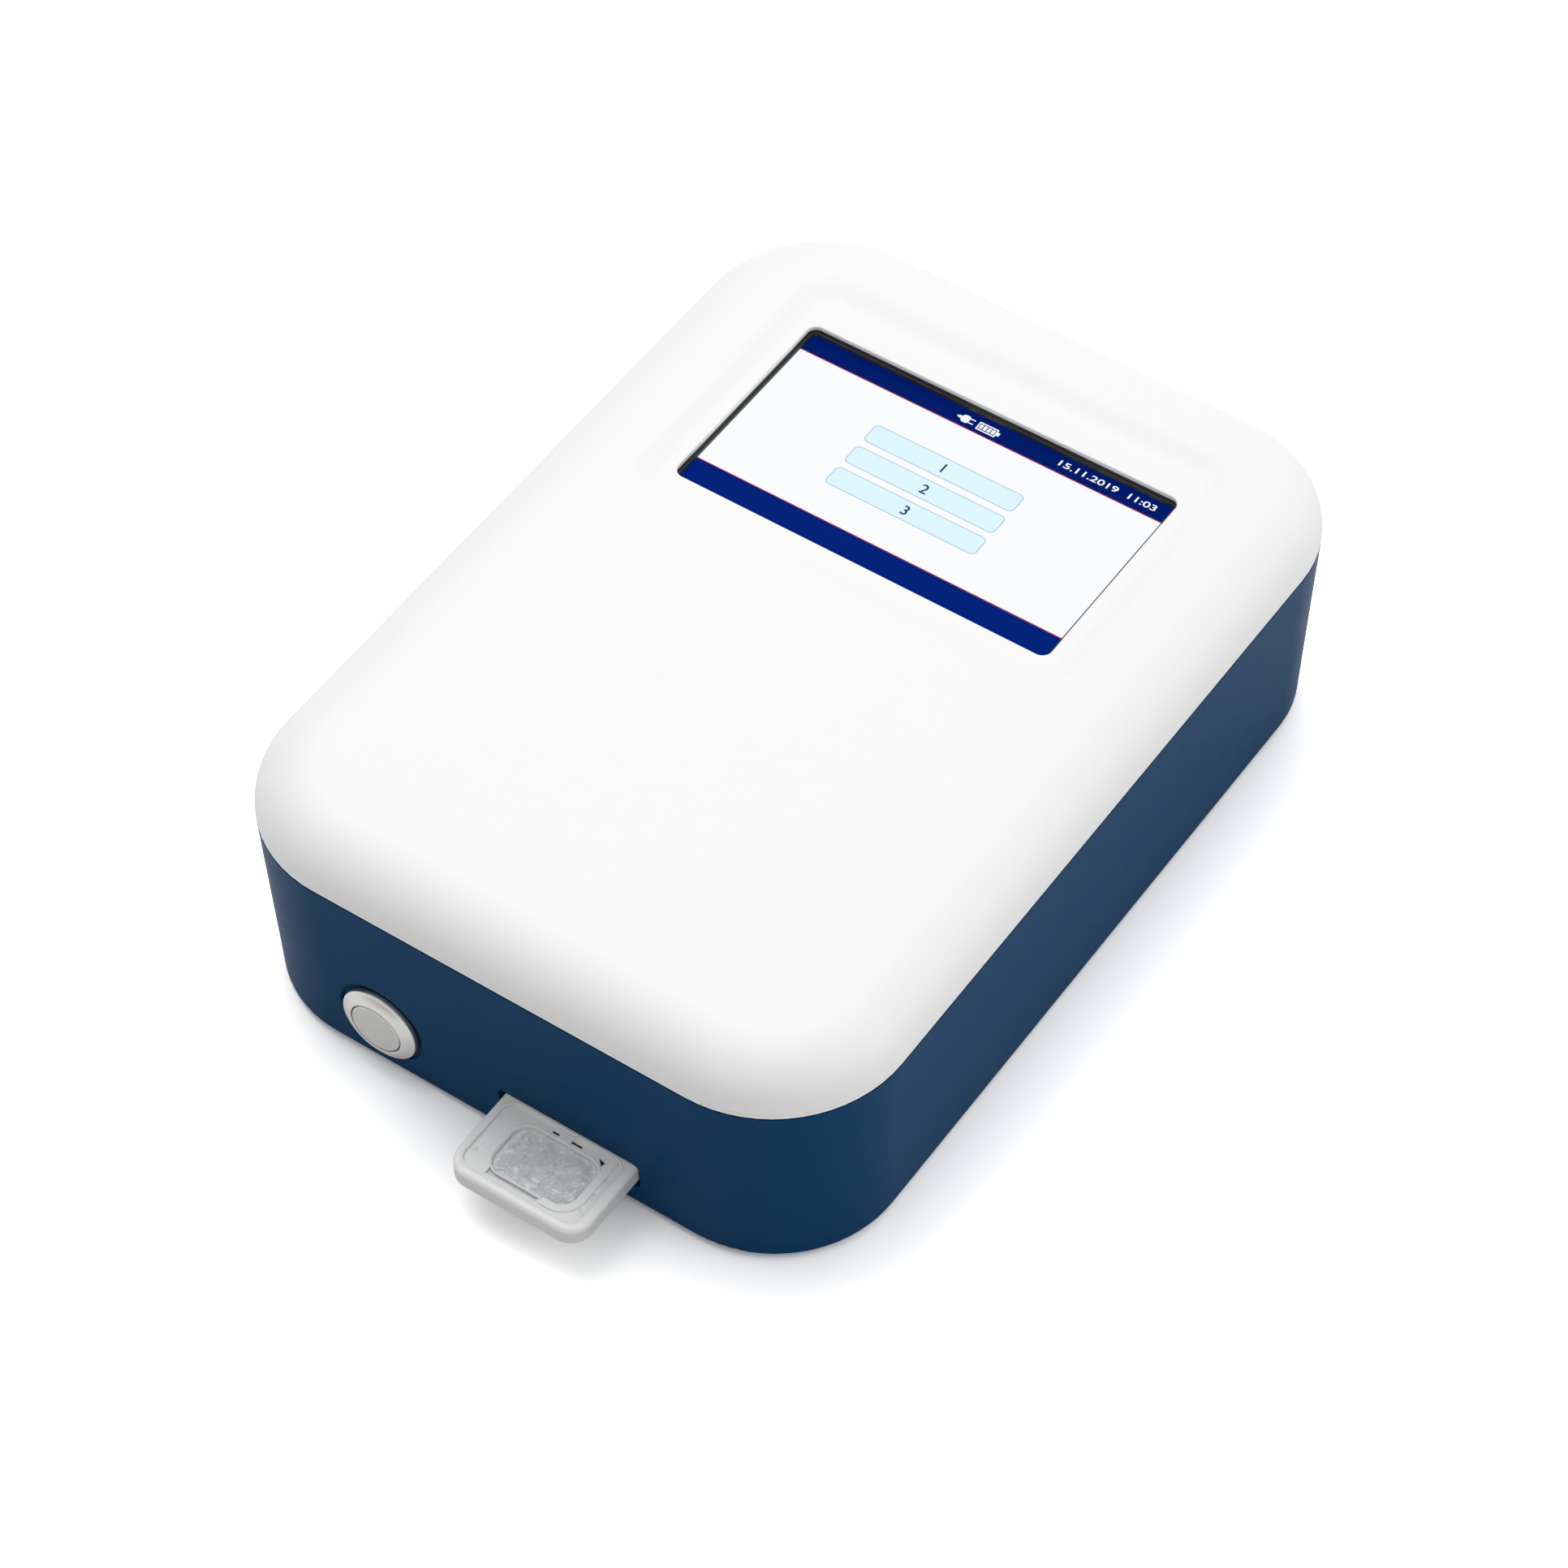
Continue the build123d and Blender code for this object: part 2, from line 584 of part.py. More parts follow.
with BuildPart() as top_cover:
    add(domed_block(COVER_Z, TOP_Z, 0, EDGE_RUN, EDGE_RISE))
    add(
        domed_block(
            COVER_Z,
            TOP_Z - COVER_WALL,
            COVER_WALL,
            EDGE_RUN - COVER_WALL,
            EDGE_RISE - COVER_WALL,
        ),
        mode=Mode.SUBTRACT,
    )
    # thicker tray under the dish, then the dish itself
    for z, grow in ((TOP_Z - COVER_WALL, 1.0), (LCD_Z, 1.0 - DISH_SLOPE / 2)):
        with BuildSketch(dish_plane(z)):
            dish_face(grow)
    loft()
    for z, grow in ((TOP_Z, 0), (RIM_Z, -DISH_SLOPE)):
        with BuildSketch(dish_plane(z)):
            dish_face(grow)
    loft(mode=Mode.SUBTRACT)
    # bosses
    add(cover_bosses.part)
    posts(
        cover_screw_points, INSERT_R, BOSS_JOINT_Z, BOSS_JOINT_Z + COVER_SCREW_LEN, Mode.SUBTRACT
    )
    posts(display_screw_points, FLOOR_BOSS_R, BRACKET_Z, LCD_Z)
    posts(
        display_screw_points,
        SMALL_SCREW_R + THREAD_GAP,
        BRACKET_Z,
        BRACKET_Z + SMALL_SCREW_LEN - BRACKET_T,
        Mode.SUBTRACT,
    )
    # opening, and the pocket for the bezel's flange and the glass
    with BuildSketch(Plane((0, DISPLAY_Y, RIM_Z + 1))):
        RectangleRounded(OPENING_W, OPENING_L, OPENING_R)
    extrude(amount=-(RIM_T + BEZEL_T + GLASS_T + 2), mode=Mode.SUBTRACT)
    with BuildSketch(Plane((0, DISPLAY_Y, RIM_Z - RIM_T))):
        grown(OPENING_W, OPENING_L, OPENING_R, BEZEL_FLANGE + BEZEL_GAP)
    extrude(amount=-(BEZEL_T + GLASS_T), mode=Mode.SUBTRACT)
    # lip inside the base's wall
    with BuildSketch(Plane.XY.offset(COVER_Z)):
        plan_face(COVER_WALL - 0.3)
        with BuildSketch(Plane.XY.offset(COVER_Z), mode=Mode.SUBTRACT):
            plan_face(WALL + LIP_GAP + LIP_T)
    extrude(amount=LIP_T)
    with BuildSketch(Plane.XY.offset(SEAM_Z - LIP_DROP)):
        plan_face(WALL + LIP_GAP)
        with BuildSketch(Plane.XY.offset(SEAM_Z - LIP_DROP), mode=Mode.SUBTRACT):
            plan_face(WALL + LIP_GAP + LIP_T)
    extrude(amount=LIP_DROP + SEAM_GAP)
save(top_cover, "top_cover")

# ---- screws and inserts that join the shells
cover_screw = screw(COVER_SCREW_R, COVER_SCREW_LEN, COVER_HEAD_R, COVER_HEAD_H)
small_screw = screw(SMALL_SCREW_R, SMALL_SCREW_LEN, SMALL_HEAD_R, SMALL_HEAD_H)
tiny_screw = screw(TINY_SCREW_R, TINY_SCREW_LEN, TINY_HEAD_R, TINY_HEAD_H)

with BuildPart() as cover_screws:
    with Locations([(x, y, screw_seat_z) for x, y in cover_screw_points]):
        add(cover_screw)
save(cover_screws, "cover_screws")

with BuildPart() as cover_inserts:
    posts(cover_screw_points, INSERT_R, BOSS_JOINT_Z, BOSS_JOINT_Z + INSERT_L)
    posts(
        cover_screw_points,
        COVER_SCREW_R + THREAD_GAP,
        BOSS_JOINT_Z,
        BOSS_JOINT_Z + INSERT_L,
        Mode.SUBTRACT,
    )
save(cover_inserts, "cover_inserts")

# ---- display stack
with BuildPart() as display_bezel:
    with BuildSketch(Plane((0, DISPLAY_Y, GLASS_Z))):
        grown(OPENING_W, OPENING_L, OPENING_R, BEZEL_FLANGE)
        with BuildSketch(Plane((0, DISPLAY_Y, GLASS_Z)), mode=Mode.SUBTRACT):
            grown(OPENING_W, OPENING_L, OPENING_R, -BEZEL_STEP)
    extrude(amount=BEZEL_T)
    with BuildSketch(Plane((0, DISPLAY_Y, GLASS_Z + BEZEL_STEP_T))):
        grown(OPENING_W, OPENING_L, OPENING_R, 0)
    extrude(amount=BEZEL_T, mode=Mode.SUBTRACT)
save(display_bezel, "display_bezel")

with BuildPart() as display_glass:
    with BuildSketch(Plane((0, DISPLAY_Y, GLASS_Z))):
        grown(OPENING_W, OPENING_L, OPENING_R, BEZEL_FLANGE)
    extrude(amount=-GLASS_T)
save(display_glass, "display_glass")

with BuildPart() as lcd_panel:
    with BuildSketch(Plane((0, DISPLAY_Y, LCD_Z))):
        RectangleRounded(LCD_W, LCD_L, 1.0)
    extrude(amount=-LCD_T)
save(lcd_panel, "lcd_panel")

with BuildPart() as display_bracket:
    with BuildSketch(Plane((0, DISPLAY_Y, BRACKET_Z))):
        RectangleRounded(LCD_W, LCD_L, 3.0)
        with Locations([(x, y - DISPLAY_Y) for x, y in display_screw_points]):
            RectangleRounded(2 * BRACKET_BAR, 2 * SMALL_HEAD_R + 6, 3.0)
            Circle(SMALL_SCREW_R + HOLE_GAP, mode=Mode.SUBTRACT)
        RectangleRounded(
            LCD_W - 2 * BRACKET_BAR, LCD_L - 2 * BRACKET_BAR - 6, 3.0, mode=Mode.SUBTRACT
        )
    extrude(amount=-BRACKET_T)
save(display_bracket, "display_bracket")

with BuildPart() as display_screws:
    with Locations([(x, y, BRACKET_Z - BRACKET_T) for x, y in display_screw_points]):
        add(small_screw)
save(display_screws, "display_screws")

with BuildPart() as display_ribbon:
    down_y = DISPLAY_Y + LCD_L / 2 - BRACKET_BAR - 3 - 4 * RIBBON_T
    start_z = BRACKET_Z - RIBBON_T / 2
    end_z = BOARD_TOP_Z + RIBBON_SOCKET_H / 2
    with BuildSketch(Plane.YZ.offset(RIBBON_X - RIBBON_W / 2)):
        with BuildLine() as ribbon_line:
            FilletPolyline(
                (down_y - 14, start_z),
                (down_y, start_z),
                (down_y, end_z),
                (RIBBON_SOCKET_Y - RIBBON_SOCKET_L / 2 - RIBBON_T / 2, end_z),
                radius=RIBBON_BEND_R,
            )
        trace(line_width=RIBBON_T)
    extrude(amount=RIBBON_W)
save(display_ribbon, "display_ribbon")

# ---- main board
with BuildPart() as main_board:
    with BuildSketch(Plane((0, BOARD_Y, BOARD_Z))):
        RectangleRounded(BOARD_W, BOARD_L, 3.0)
        with Locations([(x, y - BOARD_Y) for x, y in board_hole_points]):
            Circle(SMALL_SCREW_R + HOLE_GAP, mode=Mode.SUBTRACT)
    extrude(amount=BOARD_T)
save(main_board, "main_board")

with BuildPart() as board_parts:
    for x, dy, width, length, height in CHIPS:
        y = BOARD_Y + dy
        slab(x - width / 2, x + width / 2, y - length / 2, y + length / 2, BOARD_TOP_Z, BOARD_TOP_Z + height)
    slab(
        RIBBON_X - RIBBON_W / 2 - 2,
        RIBBON_X + RIBBON_W / 2 + 2,
        RIBBON_SOCKET_Y - RIBBON_SOCKET_L / 2,
        RIBBON_SOCKET_Y + RIBBON_SOCKET_L / 2,
        BOARD_TOP_Z,
        BOARD_TOP_Z + RIBBON_SOCKET_H,
    )
    posts([(x, BOARD_Y + dy) for x, dy in CAPACITORS], CAPACITOR_R, BOARD_TOP_Z, BOARD_TOP_Z + CAPACITOR_H)
save(board_parts, "board_parts")

with BuildPart() as board_screws:
    with Locations(pointing_down(board_hole_points, BOARD_TOP_Z)):
        add(small_screw)
save(board_screws, "board_screws")

with BuildPart() as buzzer:
    posts([(BUZZER_X, BUZZER_Y)], BUZZER_R, BOARD_TOP_Z, BOARD_TOP_Z + BUZZER_H)
    fillet(buzzer.edges().sort_by(Axis.Z)[-1:], 0.5)
    posts([(BUZZER_X, BUZZER_Y)], BUZZER_R * 0.2, BOARD_TOP_Z + BUZZER_H / 2, BOARD_TOP_Z + BUZZER_H, Mode.SUBTRACT)
save(buzzer, "buzzer")

with BuildPart() as power_inlet:
    inlet_face_y = wall_y(INLET_Z) - WALL - PORT_SETBACK
    slab(
        INLET_X - INLET_W / 2,
        INLET_X + INLET_W / 2,
        inlet_face_y - INLET_L,
        inlet_face_y,
        BOARD_TOP_Z,
        BOARD_TOP_Z + INLET_H,
    )
    with BuildSketch(facing_front(inlet_face_y)):
        with Locations((INLET_X, INLET_Z)):
            Circle(INLET_BORE_R)
            Circle(INLET_PIN_R, mode=Mode.SUBTRACT)
    extrude(amount=INLET_L * 0.7, mode=Mode.SUBTRACT)
save(power_inlet, "power_inlet")

with BuildPart() as usb_port:
    usb_face_y = wall_y(USB_Z) - PORT_SETBACK
    with BuildSketch(facing_front(usb_face_y)):
        with Locations((USB_X, USB_Z)):
            RectangleRounded(USB_W, USB_H, USB_SHELL_T)
    extrude(amount=USB_L)
    with BuildSketch(facing_front(usb_face_y)):
        with Locations((USB_X, USB_Z)):
            Rectangle(USB_W - 2 * USB_SHELL_T, USB_H - 2 * USB_SHELL_T)
        with Locations((USB_X, USB_Z + USB_H / 2 - USB_SHELL_T - USB_TONGUE_T)):
            Rectangle(USB_W - 2 * USB_TONGUE_IN, USB_TONGUE_T, mode=Mode.SUBTRACT)
    extrude(amount=USB_L * 0.75, mode=Mode.SUBTRACT)
save(usb_port, "usb_port")

# ---- battery
battery_low_z = FLOOR_Z
battery_mid_z = battery_low_z + 2 * CELL_R
with BuildPart() as battery_pack:
    with BuildSketch(Plane((BATTERY_X - CELL_L / 2, BATTERY_Y, battery_mid_z), (0, 1, 0), (1, 0, 0))):
        with GridLocations(2 * CELL_R, 2 * CELL_R, 2, 2):
            Circle(CELL_R)
        make_hull()
    extrude(amount=CELL_L)
    fillet(battery_pack.faces().filter_by(Axis.X).edges(), BATTERY_EDGE_R)
save(battery_pack, "battery_pack")

with BuildPart() as battery_strap:
    strap_y = 2 * CELL_R + STRAP_T / 2
    strap_top = battery_low_z + 4 * CELL_R + STRAP_T / 2
    strap_low = BAY_EAR_Z + STRAP_T / 2
    with BuildSketch(Plane.YZ.offset(BATTERY_X - STRAP_W / 2)):
        with BuildLine():
            FilletPolyline(
                (BATTERY_Y - strap_y - STRAP_FOOT, strap_low),
                (BATTERY_Y - strap_y, strap_low),
                (BATTERY_Y - strap_y, strap_top),
                (BATTERY_Y + strap_y, strap_top),
                (BATTERY_Y + strap_y, strap_low),
                (BATTERY_Y + strap_y + STRAP_FOOT, strap_low),
                radius=[1.0, STRAP_BEND_R, STRAP_BEND_R, 1.0],
            )
        trace(line_width=STRAP_T)
    extrude(amount=STRAP_W)
    posts(strap_screw_points, SMALL_SCREW_R + HOLE_GAP, BAY_EAR_Z - 1, BAY_EAR_Z + 2, Mode.SUBTRACT)
save(battery_strap, "battery_strap")

with BuildPart() as strap_screws:
    with Locations(pointing_down(strap_screw_points, BAY_EAR_Z + STRAP_T)):
        add(small_screw)
save(strap_screws, "strap_screws")

# ---- power button
barrel_end_y = FLANGE_BACK_Y + BARREL_L
well_y = FLANGE_FRONT_Y + WELL_DEPTH
with BuildPart() as button_bezel:
    add(
        turned(
            BUTTON_X,
            BUTTON_Z,
            [
                (ACTUATOR_R + BUTTON_GAP, FLANGE_FRONT_Y),
                (ACTUATOR_R + BUTTON_GAP + BUTTON_LIP, FLANGE_FRONT_Y),
                (FLANGE_R, FLANGE_EDGE_Y),
                (FLANGE_R, FLANGE_BACK_Y),
                (BARREL_R, FLANGE_BACK_Y),
                (BARREL_R, barrel_end_y),
                (STEM_R + STEM_GAP, barrel_end_y),
                (STEM_R + STEM_GAP, well_y),
                (ACTUATOR_R + BUTTON_GAP, well_y),
            ],
        )
    )
    fillet(
        button_bezel.edges().filter_by(GeomType.CIRCLE).group_by(Axis.Y)[1],
        FLANGE_EDGE_R,
    )
save(button_bezel, "button_bezel")

with BuildPart() as button_seal:
    with BuildSketch(facing_front(FLANGE_BACK_Y)):
        with Locations((BUTTON_X, BUTTON_Z)):
            Circle(FLANGE_R)
            Circle(BARREL_R + BARREL_FIT, mode=Mode.SUBTRACT)
    extrude(amount=-SEAL_T)
save(button_seal, "button_seal")

with BuildPart() as button_nut:
    with BuildSketch(facing_front(NUT_Y)):
        with Locations((BUTTON_X, BUTTON_Z)):
            RegularPolygon(NUT_AF / 2, 6, major_radius=False)
            Circle(BARREL_R + THREAD_GAP, mode=Mode.SUBTRACT)
    extrude(amount=-NUT_T)
save(button_nut, "button_nut")

cap_back_y = FLANGE_FRONT_Y + ACTUATOR_T
with BuildPart() as button_cap:
    add(
        turned(
            BUTTON_X,
            BUTTON_Z,
            [
                (0, FLANGE_FRONT_Y),
                (ACTUATOR_R, FLANGE_FRONT_Y),
                (ACTUATOR_R, cap_back_y),
                (STEM_R, cap_back_y),
                (STEM_R, barrel_end_y - BUTTON_TRAVEL / 2),
                (0, barrel_end_y - BUTTON_TRAVEL / 2),
            ],
        )
    )
    fillet(button_cap.edges().filter_by(GeomType.CIRCLE).group_by(Axis.Y)[0], ACTUATOR_EDGE_R)
save(button_cap, "button_cap")

spring_room = well_y - cap_back_y - 2 * SPRING_WIRE_R
with BuildPart() as button_spring:
    with BuildLine() as coil:
        Helix(
            pitch=spring_room / SPRING_TURNS,
            height=spring_room,
            radius=SPRING_R,
            center=(BUTTON_X, cap_back_y + SPRING_WIRE_R, BUTTON_Z),
            direction=(0, 1, 0),
        )
    with BuildSketch(Plane(coil.wire() @ 0, z_dir=coil.wire() % 0)):
        Circle(SPRING_WIRE_R)
    sweep(path=coil.wire(), is_frenet=True)
save(button_spring, "button_spring")

with BuildPart() as switch_block:
    with BuildSketch(facing_front(barrel_end_y)):
        with Locations((BUTTON_X, BUTTON_Z)):
            Circle(SWITCH_R)
    extrude(amount=-SWITCH_L)
    with BuildSketch(facing_front(barrel_end_y)):
        with Locations((BUTTON_X, BUTTON_Z)):
            Circle(STEM_R + 2 * STEM_GAP)
    extrude(amount=-SWITCH_L / 2, mode=Mode.SUBTRACT)
    with BuildSketch(facing_front(barrel_end_y + SWITCH_L)):
        with Locations((BUTTON_X, BUTTON_Z)):
            with PolarLocations(SWITCH_R * 0.6, 4):
                Rectangle(0.6, 2.8)
    extrude(amount=-TERMINAL_L)
save(switch_block, "switch_block")

# ---- cartridge


def cartridge_plan():
    """Outline of the cartridge: the narrow part that shows and the wide part inside."""
    with BuildSketch(mode=Mode.PRIVATE) as narrow:
        with Locations((CART_X, (CART_FRONT_Y + CART_BACK_Y) / 2)):
            Rectangle(CART_W, CART_L)
        fillet(narrow.vertices().group_by(Axis.Y)[0], CART_CORNER_R)
        with Locations(((CART_DEEP_X0 + CART_X1) / 2, (CART_DEEP_Y + CART_BACK_Y) / 2)):
            Rectangle(CART_DEEP_W, CART_BACK_Y - CART_DEEP_Y)
        fillet(narrow.vertices().group_by(Axis.Y)[-1], CART_DEEP_R)
    add(narrow.sketch)


def on_lid(points):
    """Places on the lid, from its centre line and its front edge."""
    return [(CART_X + x, CART_FRONT_Y + y) for x, y in points]


def window_face(inset):
    """The pad window, drawn in by inset."""
    with Locations((WINDOW_MID_X, WINDOW_MID_Y)):
        grown(WINDOW_W, WINDOW_L, WINDOW_R, -inset)


WINDOW_MID_X = CART_X + WINDOW_X
WINDOW_MID_Y = CART_FRONT_Y + WINDOW_FRONT + WINDOW_L / 2
PANEL_BACK_Y = CART_FRONT_Y + PANEL_BACK
slit_y = CART_FRONT_Y + SLIT_FRONT
ledge_x = CART_X + WINDOW_STEP_X
LID_Z = CART_TOP_Z - LID_T
PANEL_Z = CART_TOP_Z - PANEL_SINK
SHELF_Z = PANEL_Z - SHELF_DEPTH
strip_xs = [CART_X + STRIP_PITCH * (i - (STRIP_COUNT - 1) / 2) for i in range(STRIP_COUNT)]

with BuildPart() as cartridge_lid:
    with BuildSketch(Plane.XY.offset(LID_Z)):
        cartridge_plan()
    extrude(amount=LID_T)
    fillet(cartridge_lid.faces().sort_by(Axis.Z)[-1].edges(), CART_EDGE_R)
    # panel inside the rim
    with BuildSketch(Plane.XY.offset(PANEL_Z)):
        with Locations((CART_X, (CART_FRONT_Y + RIM_W + PANEL_BACK_Y) / 2)):
            RectangleRounded(
                CART_W - 2 * RIM_W, PANEL_BACK_Y - CART_FRONT_Y - RIM_W, CART_CORNER_R - RIM_W
            )
    extrude(amount=LID_T, mode=Mode.SUBTRACT)
    # ridge along the right of the window and round its near corner
    ridge_x = WINDOW_MID_X + (WINDOW_W + RIDGE_W) / 2
    ridge_y = WINDOW_MID_Y - (WINDOW_L + RIDGE_W) / 2
    with BuildSketch(Plane.XY.offset(PANEL_Z)):
        with BuildLine():
            FilletPolyline(
                (ridge_x, PANEL_BACK_Y - RIDGE_W / 2),
                (ridge_x, ridge_y),
                (ledge_x + (WINDOW_STEP_W + RIDGE_W) / 2, ridge_y),
                radius=WINDOW_R + RIDGE_W / 2,
            )
        trace(line_width=RIDGE_W)
    extrude(amount=PANEL_SINK)
    # stepped window
    with BuildSketch(Plane.XY.offset(SHELF_Z)):
        window_face(0)
        with Locations((ledge_x, WINDOW_MID_Y - WINDOW_L / 2)):
            Rectangle(WINDOW_STEP_W, 2 * WINDOW_STEP)
    extrude(amount=LID_T, mode=Mode.SUBTRACT)
    with BuildSketch(Plane.XY.offset(LID_Z)):
        window_face(SHELF_W)
    extrude(amount=LID_T, mode=Mode.SUBTRACT)
    # snap tongue over its slit, with a small three-sided hole beside it
    slab(
        CART_X + SLIT_X - SLIT_L / 2,
        CART_X + SLIT_X + SLIT_L / 2,
        slit_y - SLIT_W / 2,
        slit_y + SLIT_W / 2,
        LID_Z,
        CART_TOP_Z,
        Mode.SUBTRACT,
    )
    slab(
        CART_X + TONGUE_X - TONGUE_W / 2,
        CART_X + TONGUE_X + TONGUE_W / 2,
        slit_y - TONGUE_FRONT,
        PANEL_BACK_Y,
        SHELF_Z,
        CART_TOP_Z,
    )
    with BuildSketch(Plane.XY.offset(LID_Z)):
        with BuildLine():
            Polyline(on_lid(GATE_HOLE), close=True)
        make_face()
    extrude(amount=LID_T, mode=Mode.SUBTRACT)
    posts(on_lid(DIMPLES), DIMPLE_R, PANEL_Z - DIMPLE_DEPTH, CART_TOP_Z, Mode.SUBTRACT)
    # room for the strips, and a reading slot over each
    for x in strip_xs:
        slab(
            x - STRIP_W / 2 - PAD_GAP,
            x + STRIP_W / 2 + PAD_GAP,
            READ_Y - STRIP_L / 2 - PAD_GAP,
            READ_Y + STRIP_L / 2 - PAD_GAP,
            LID_Z,
            LID_Z + STRIP_T + PAD_GAP,
            Mode.SUBTRACT,
        )
        with BuildSketch(Plane((x, READ_Y, LID_Z))):
            SlotOverall(READ_L, READ_W, rotation=90)
        extrude(amount=LID_T, mode=Mode.SUBTRACT)
save(cartridge_lid, "cartridge_lid")

with BuildPart() as cartridge_tray:
    with BuildSketch(Plane.XY.offset(CART_TOP_Z - CART_T)):
        cartridge_plan()
    extrude(amount=CART_T - LID_T)
    with BuildSketch(Plane.XY.offset(CART_LOW_Z)):
        with Locations(((CART_DEEP_X0 + CART_X1) / 2, (CART_DEEP_Y + CART_BACK_Y) / 2)):
            RectangleRounded(CART_DEEP_W, CART_BACK_Y - CART_DEEP_Y, CART_DEEP_R)
    extrude(amount=CART_DEEP_T - CART_T)
    fillet(cartridge_tray.faces().sort_by(Axis.Z)[0].edges(), CART_DEEP_EDGE_R)
    with BuildSketch(Plane.XY.offset(CART_LOW_Z)):
        with Locations(((CART_DEEP_X0 + CART_X1) / 2, (CART_DEEP_Y + CART_BACK_Y) / 2)):
            RectangleRounded(
                CART_DEEP_W - 2 * TRAY_WALL,
                CART_BACK_Y - CART_DEEP_Y - 2 * TRAY_WALL,
                CART_DEEP_R - TRAY_WALL / 2,
            )
    extrude(amount=CART_DEEP_T - CART_T, mode=Mode.SUBTRACT)
save(cartridge_tray, "cartridge_tray")

with BuildPart() as sample_pad:
    with BuildSketch(Plane.XY.offset(LID_Z)):
        window_face(SHELF_W + PAD_GAP)
    extrude(amount=SHELF_Z - PAD_SINK - LID_Z)
    chamfer(sample_pad.faces().sort_by(Axis.Z)[-1].edges(), PAD_BEVEL)
save(sample_pad, "sample_pad")

with BuildPart() as test_strips:
    for x in strip_xs:
        slab(
            x - STRIP_W / 2,
            x + STRIP_W / 2,
            READ_Y - STRIP_L / 2,
            READ_Y + STRIP_L / 2 - 2 * PAD_GAP,
            LID_Z,
            LID_Z + STRIP_T,
        )
save(test_strips, "test_strips")

# ---- cartridge bay
bay_floor_z = CART_LOW_Z - BAY_GAP
bay_top_z = CART_TOP_Z + BAY_GAP + BAY_LIP_T
with BuildPart() as cartridge_bay:
    slab(BAY_X0, BAY_X1, BAY_FRONT_Y, BAY_BACK_Y, FLOOR_Z, bay_top_z)
    for x, y in bay_screw_points:
        inner = BAY_X0 if x < BAY_X0 else BAY_X1
        outer = inner + (BAY_EAR_OUT if x > inner else -BAY_EAR_OUT)
        slab(
            min(inner, outer),
            max(inner, outer),
            y - BAY_EAR_W / 2,
            y + BAY_EAR_W / 2,
            BAY_EAR_Z,
            BAY_EAR_Z + BAY_EAR_T,
        )
    posts(bay_screw_points, SMALL_SCREW_R + HOLE_GAP, FLOOR_Z, bay_top_z, Mode.SUBTRACT)
    # channel for the cartridge, open along the top, and the hollow underneath
    slab(
        BAY_X0 + BAY_WALL,
        BAY_X1 - BAY_WALL,
        BAY_FRONT_Y - 1,
        BAY_BACK_Y - BAY_STOP_T,
        bay_floor_z,
        CART_TOP_Z + BAY_GAP,
        Mode.SUBTRACT,
    )
    slab(
        BAY_X0 + BAY_WALL + BAY_LIP_W,
        BAY_X1 - BAY_WALL - BAY_LIP_W,
        BAY_FRONT_Y - 1,
        BAY_BACK_Y - BAY_STOP_T,
        bay_floor_z,
        bay_top_z,
        Mode.SUBTRACT,
    )
    slab(
        BAY_X0 + BAY_WALL,
        BAY_X1 - BAY_WALL,
        BAY_FRONT_Y + BAY_WALL,
        BAY_BACK_Y - BAY_STOP_T,
        FLOOR_Z,
        bay_floor_z - BAY_WALL,
        Mode.SUBTRACT,
    )
    # window for the detent spring and hole for the sensor
    detent_mid_z = (bay_floor_z + CART_TOP_Z) / 2
    slab(
        BAY_X1 - BAY_WALL,
        BAY_X1,
        DETENT_Y - 5,
        DETENT_Y + 5,
        detent_mid_z - DETENT_H / 2 - 0.5,
        detent_mid_z + DETENT_H / 2 + 0.5,
        Mode.SUBTRACT,
    )
    slab(
        CART_X - SENSOR_W / 2,
        CART_X + SENSOR_W / 2,
        BAY_BACK_Y - BAY_STOP_T,
        BAY_BACK_Y,
        detent_mid_z - SENSOR_H / 2,
        detent_mid_z + SENSOR_H / 2,
        Mode.SUBTRACT,
    )
save(cartridge_bay, "cartridge_bay")

with BuildPart() as bay_screws:
    with Locations(pointing_down(bay_screw_points, BAY_EAR_Z + BAY_EAR_T)):
        add(small_screw)
save(bay_screws, "bay_screws")

with BuildPart() as cartridge_detent:
    leaf_x = BAY_X1 + DETENT_T / 2
    nose_x = BAY_X1 - BAY_WALL + DETENT_T / 2 + BAY_GAP
    with BuildSketch(Plane.XY.offset(detent_mid_z - DETENT_H / 2)):
        with BuildLine():
            FilletPolyline(
                (leaf_x, DETENT_Y - 12),
                (leaf_x, DETENT_Y - 4.5),
                (nose_x, DETENT_Y),
                (leaf_x + DETENT_T, DETENT_Y + 4.5),
                radius=0.8,
            )
        trace(line_width=DETENT_T)
    extrude(amount=DETENT_H)
save(cartridge_detent, "cartridge_detent")

with BuildPart() as cartridge_sensor:
    slab(
        CART_X - SENSOR_W / 2,
        CART_X + SENSOR_W / 2,
        BAY_BACK_Y - BAY_STOP_T,
        BAY_BACK_Y - BAY_STOP_T + SENSOR_L,
        detent_mid_z - SENSOR_H / 2,
        detent_mid_z + SENSOR_H / 2,
    )
save(cartridge_sensor, "cartridge_sensor")

# ---- scanner: frame, rods, lead screw and motor
screw_x = CART_X + SCREW_DX
rod_points = [(CART_X - ROD_DX, ROD_Z), (CART_X + ROD_DX, ROD_Z)]
motor_hole_points = [
    (screw_x + sx * MOTOR_HOLE, SCREW_Z + sz * MOTOR_HOLE) for sx in (-1, 1) for sz in (-1, 1)
]


def upright_face():
    """End plate of the scanner frame, with its rod holes."""
    with Locations((CART_X, (PLATE_Z + UPRIGHT_TOP_Z) / 2)):
        RectangleRounded(PLATE_W - 4, UPRIGHT_TOP_Z - PLATE_Z, 0.9)
    with Locations(*rod_points):
        Circle(ROD_R + THREAD_GAP, mode=Mode.SUBTRACT)


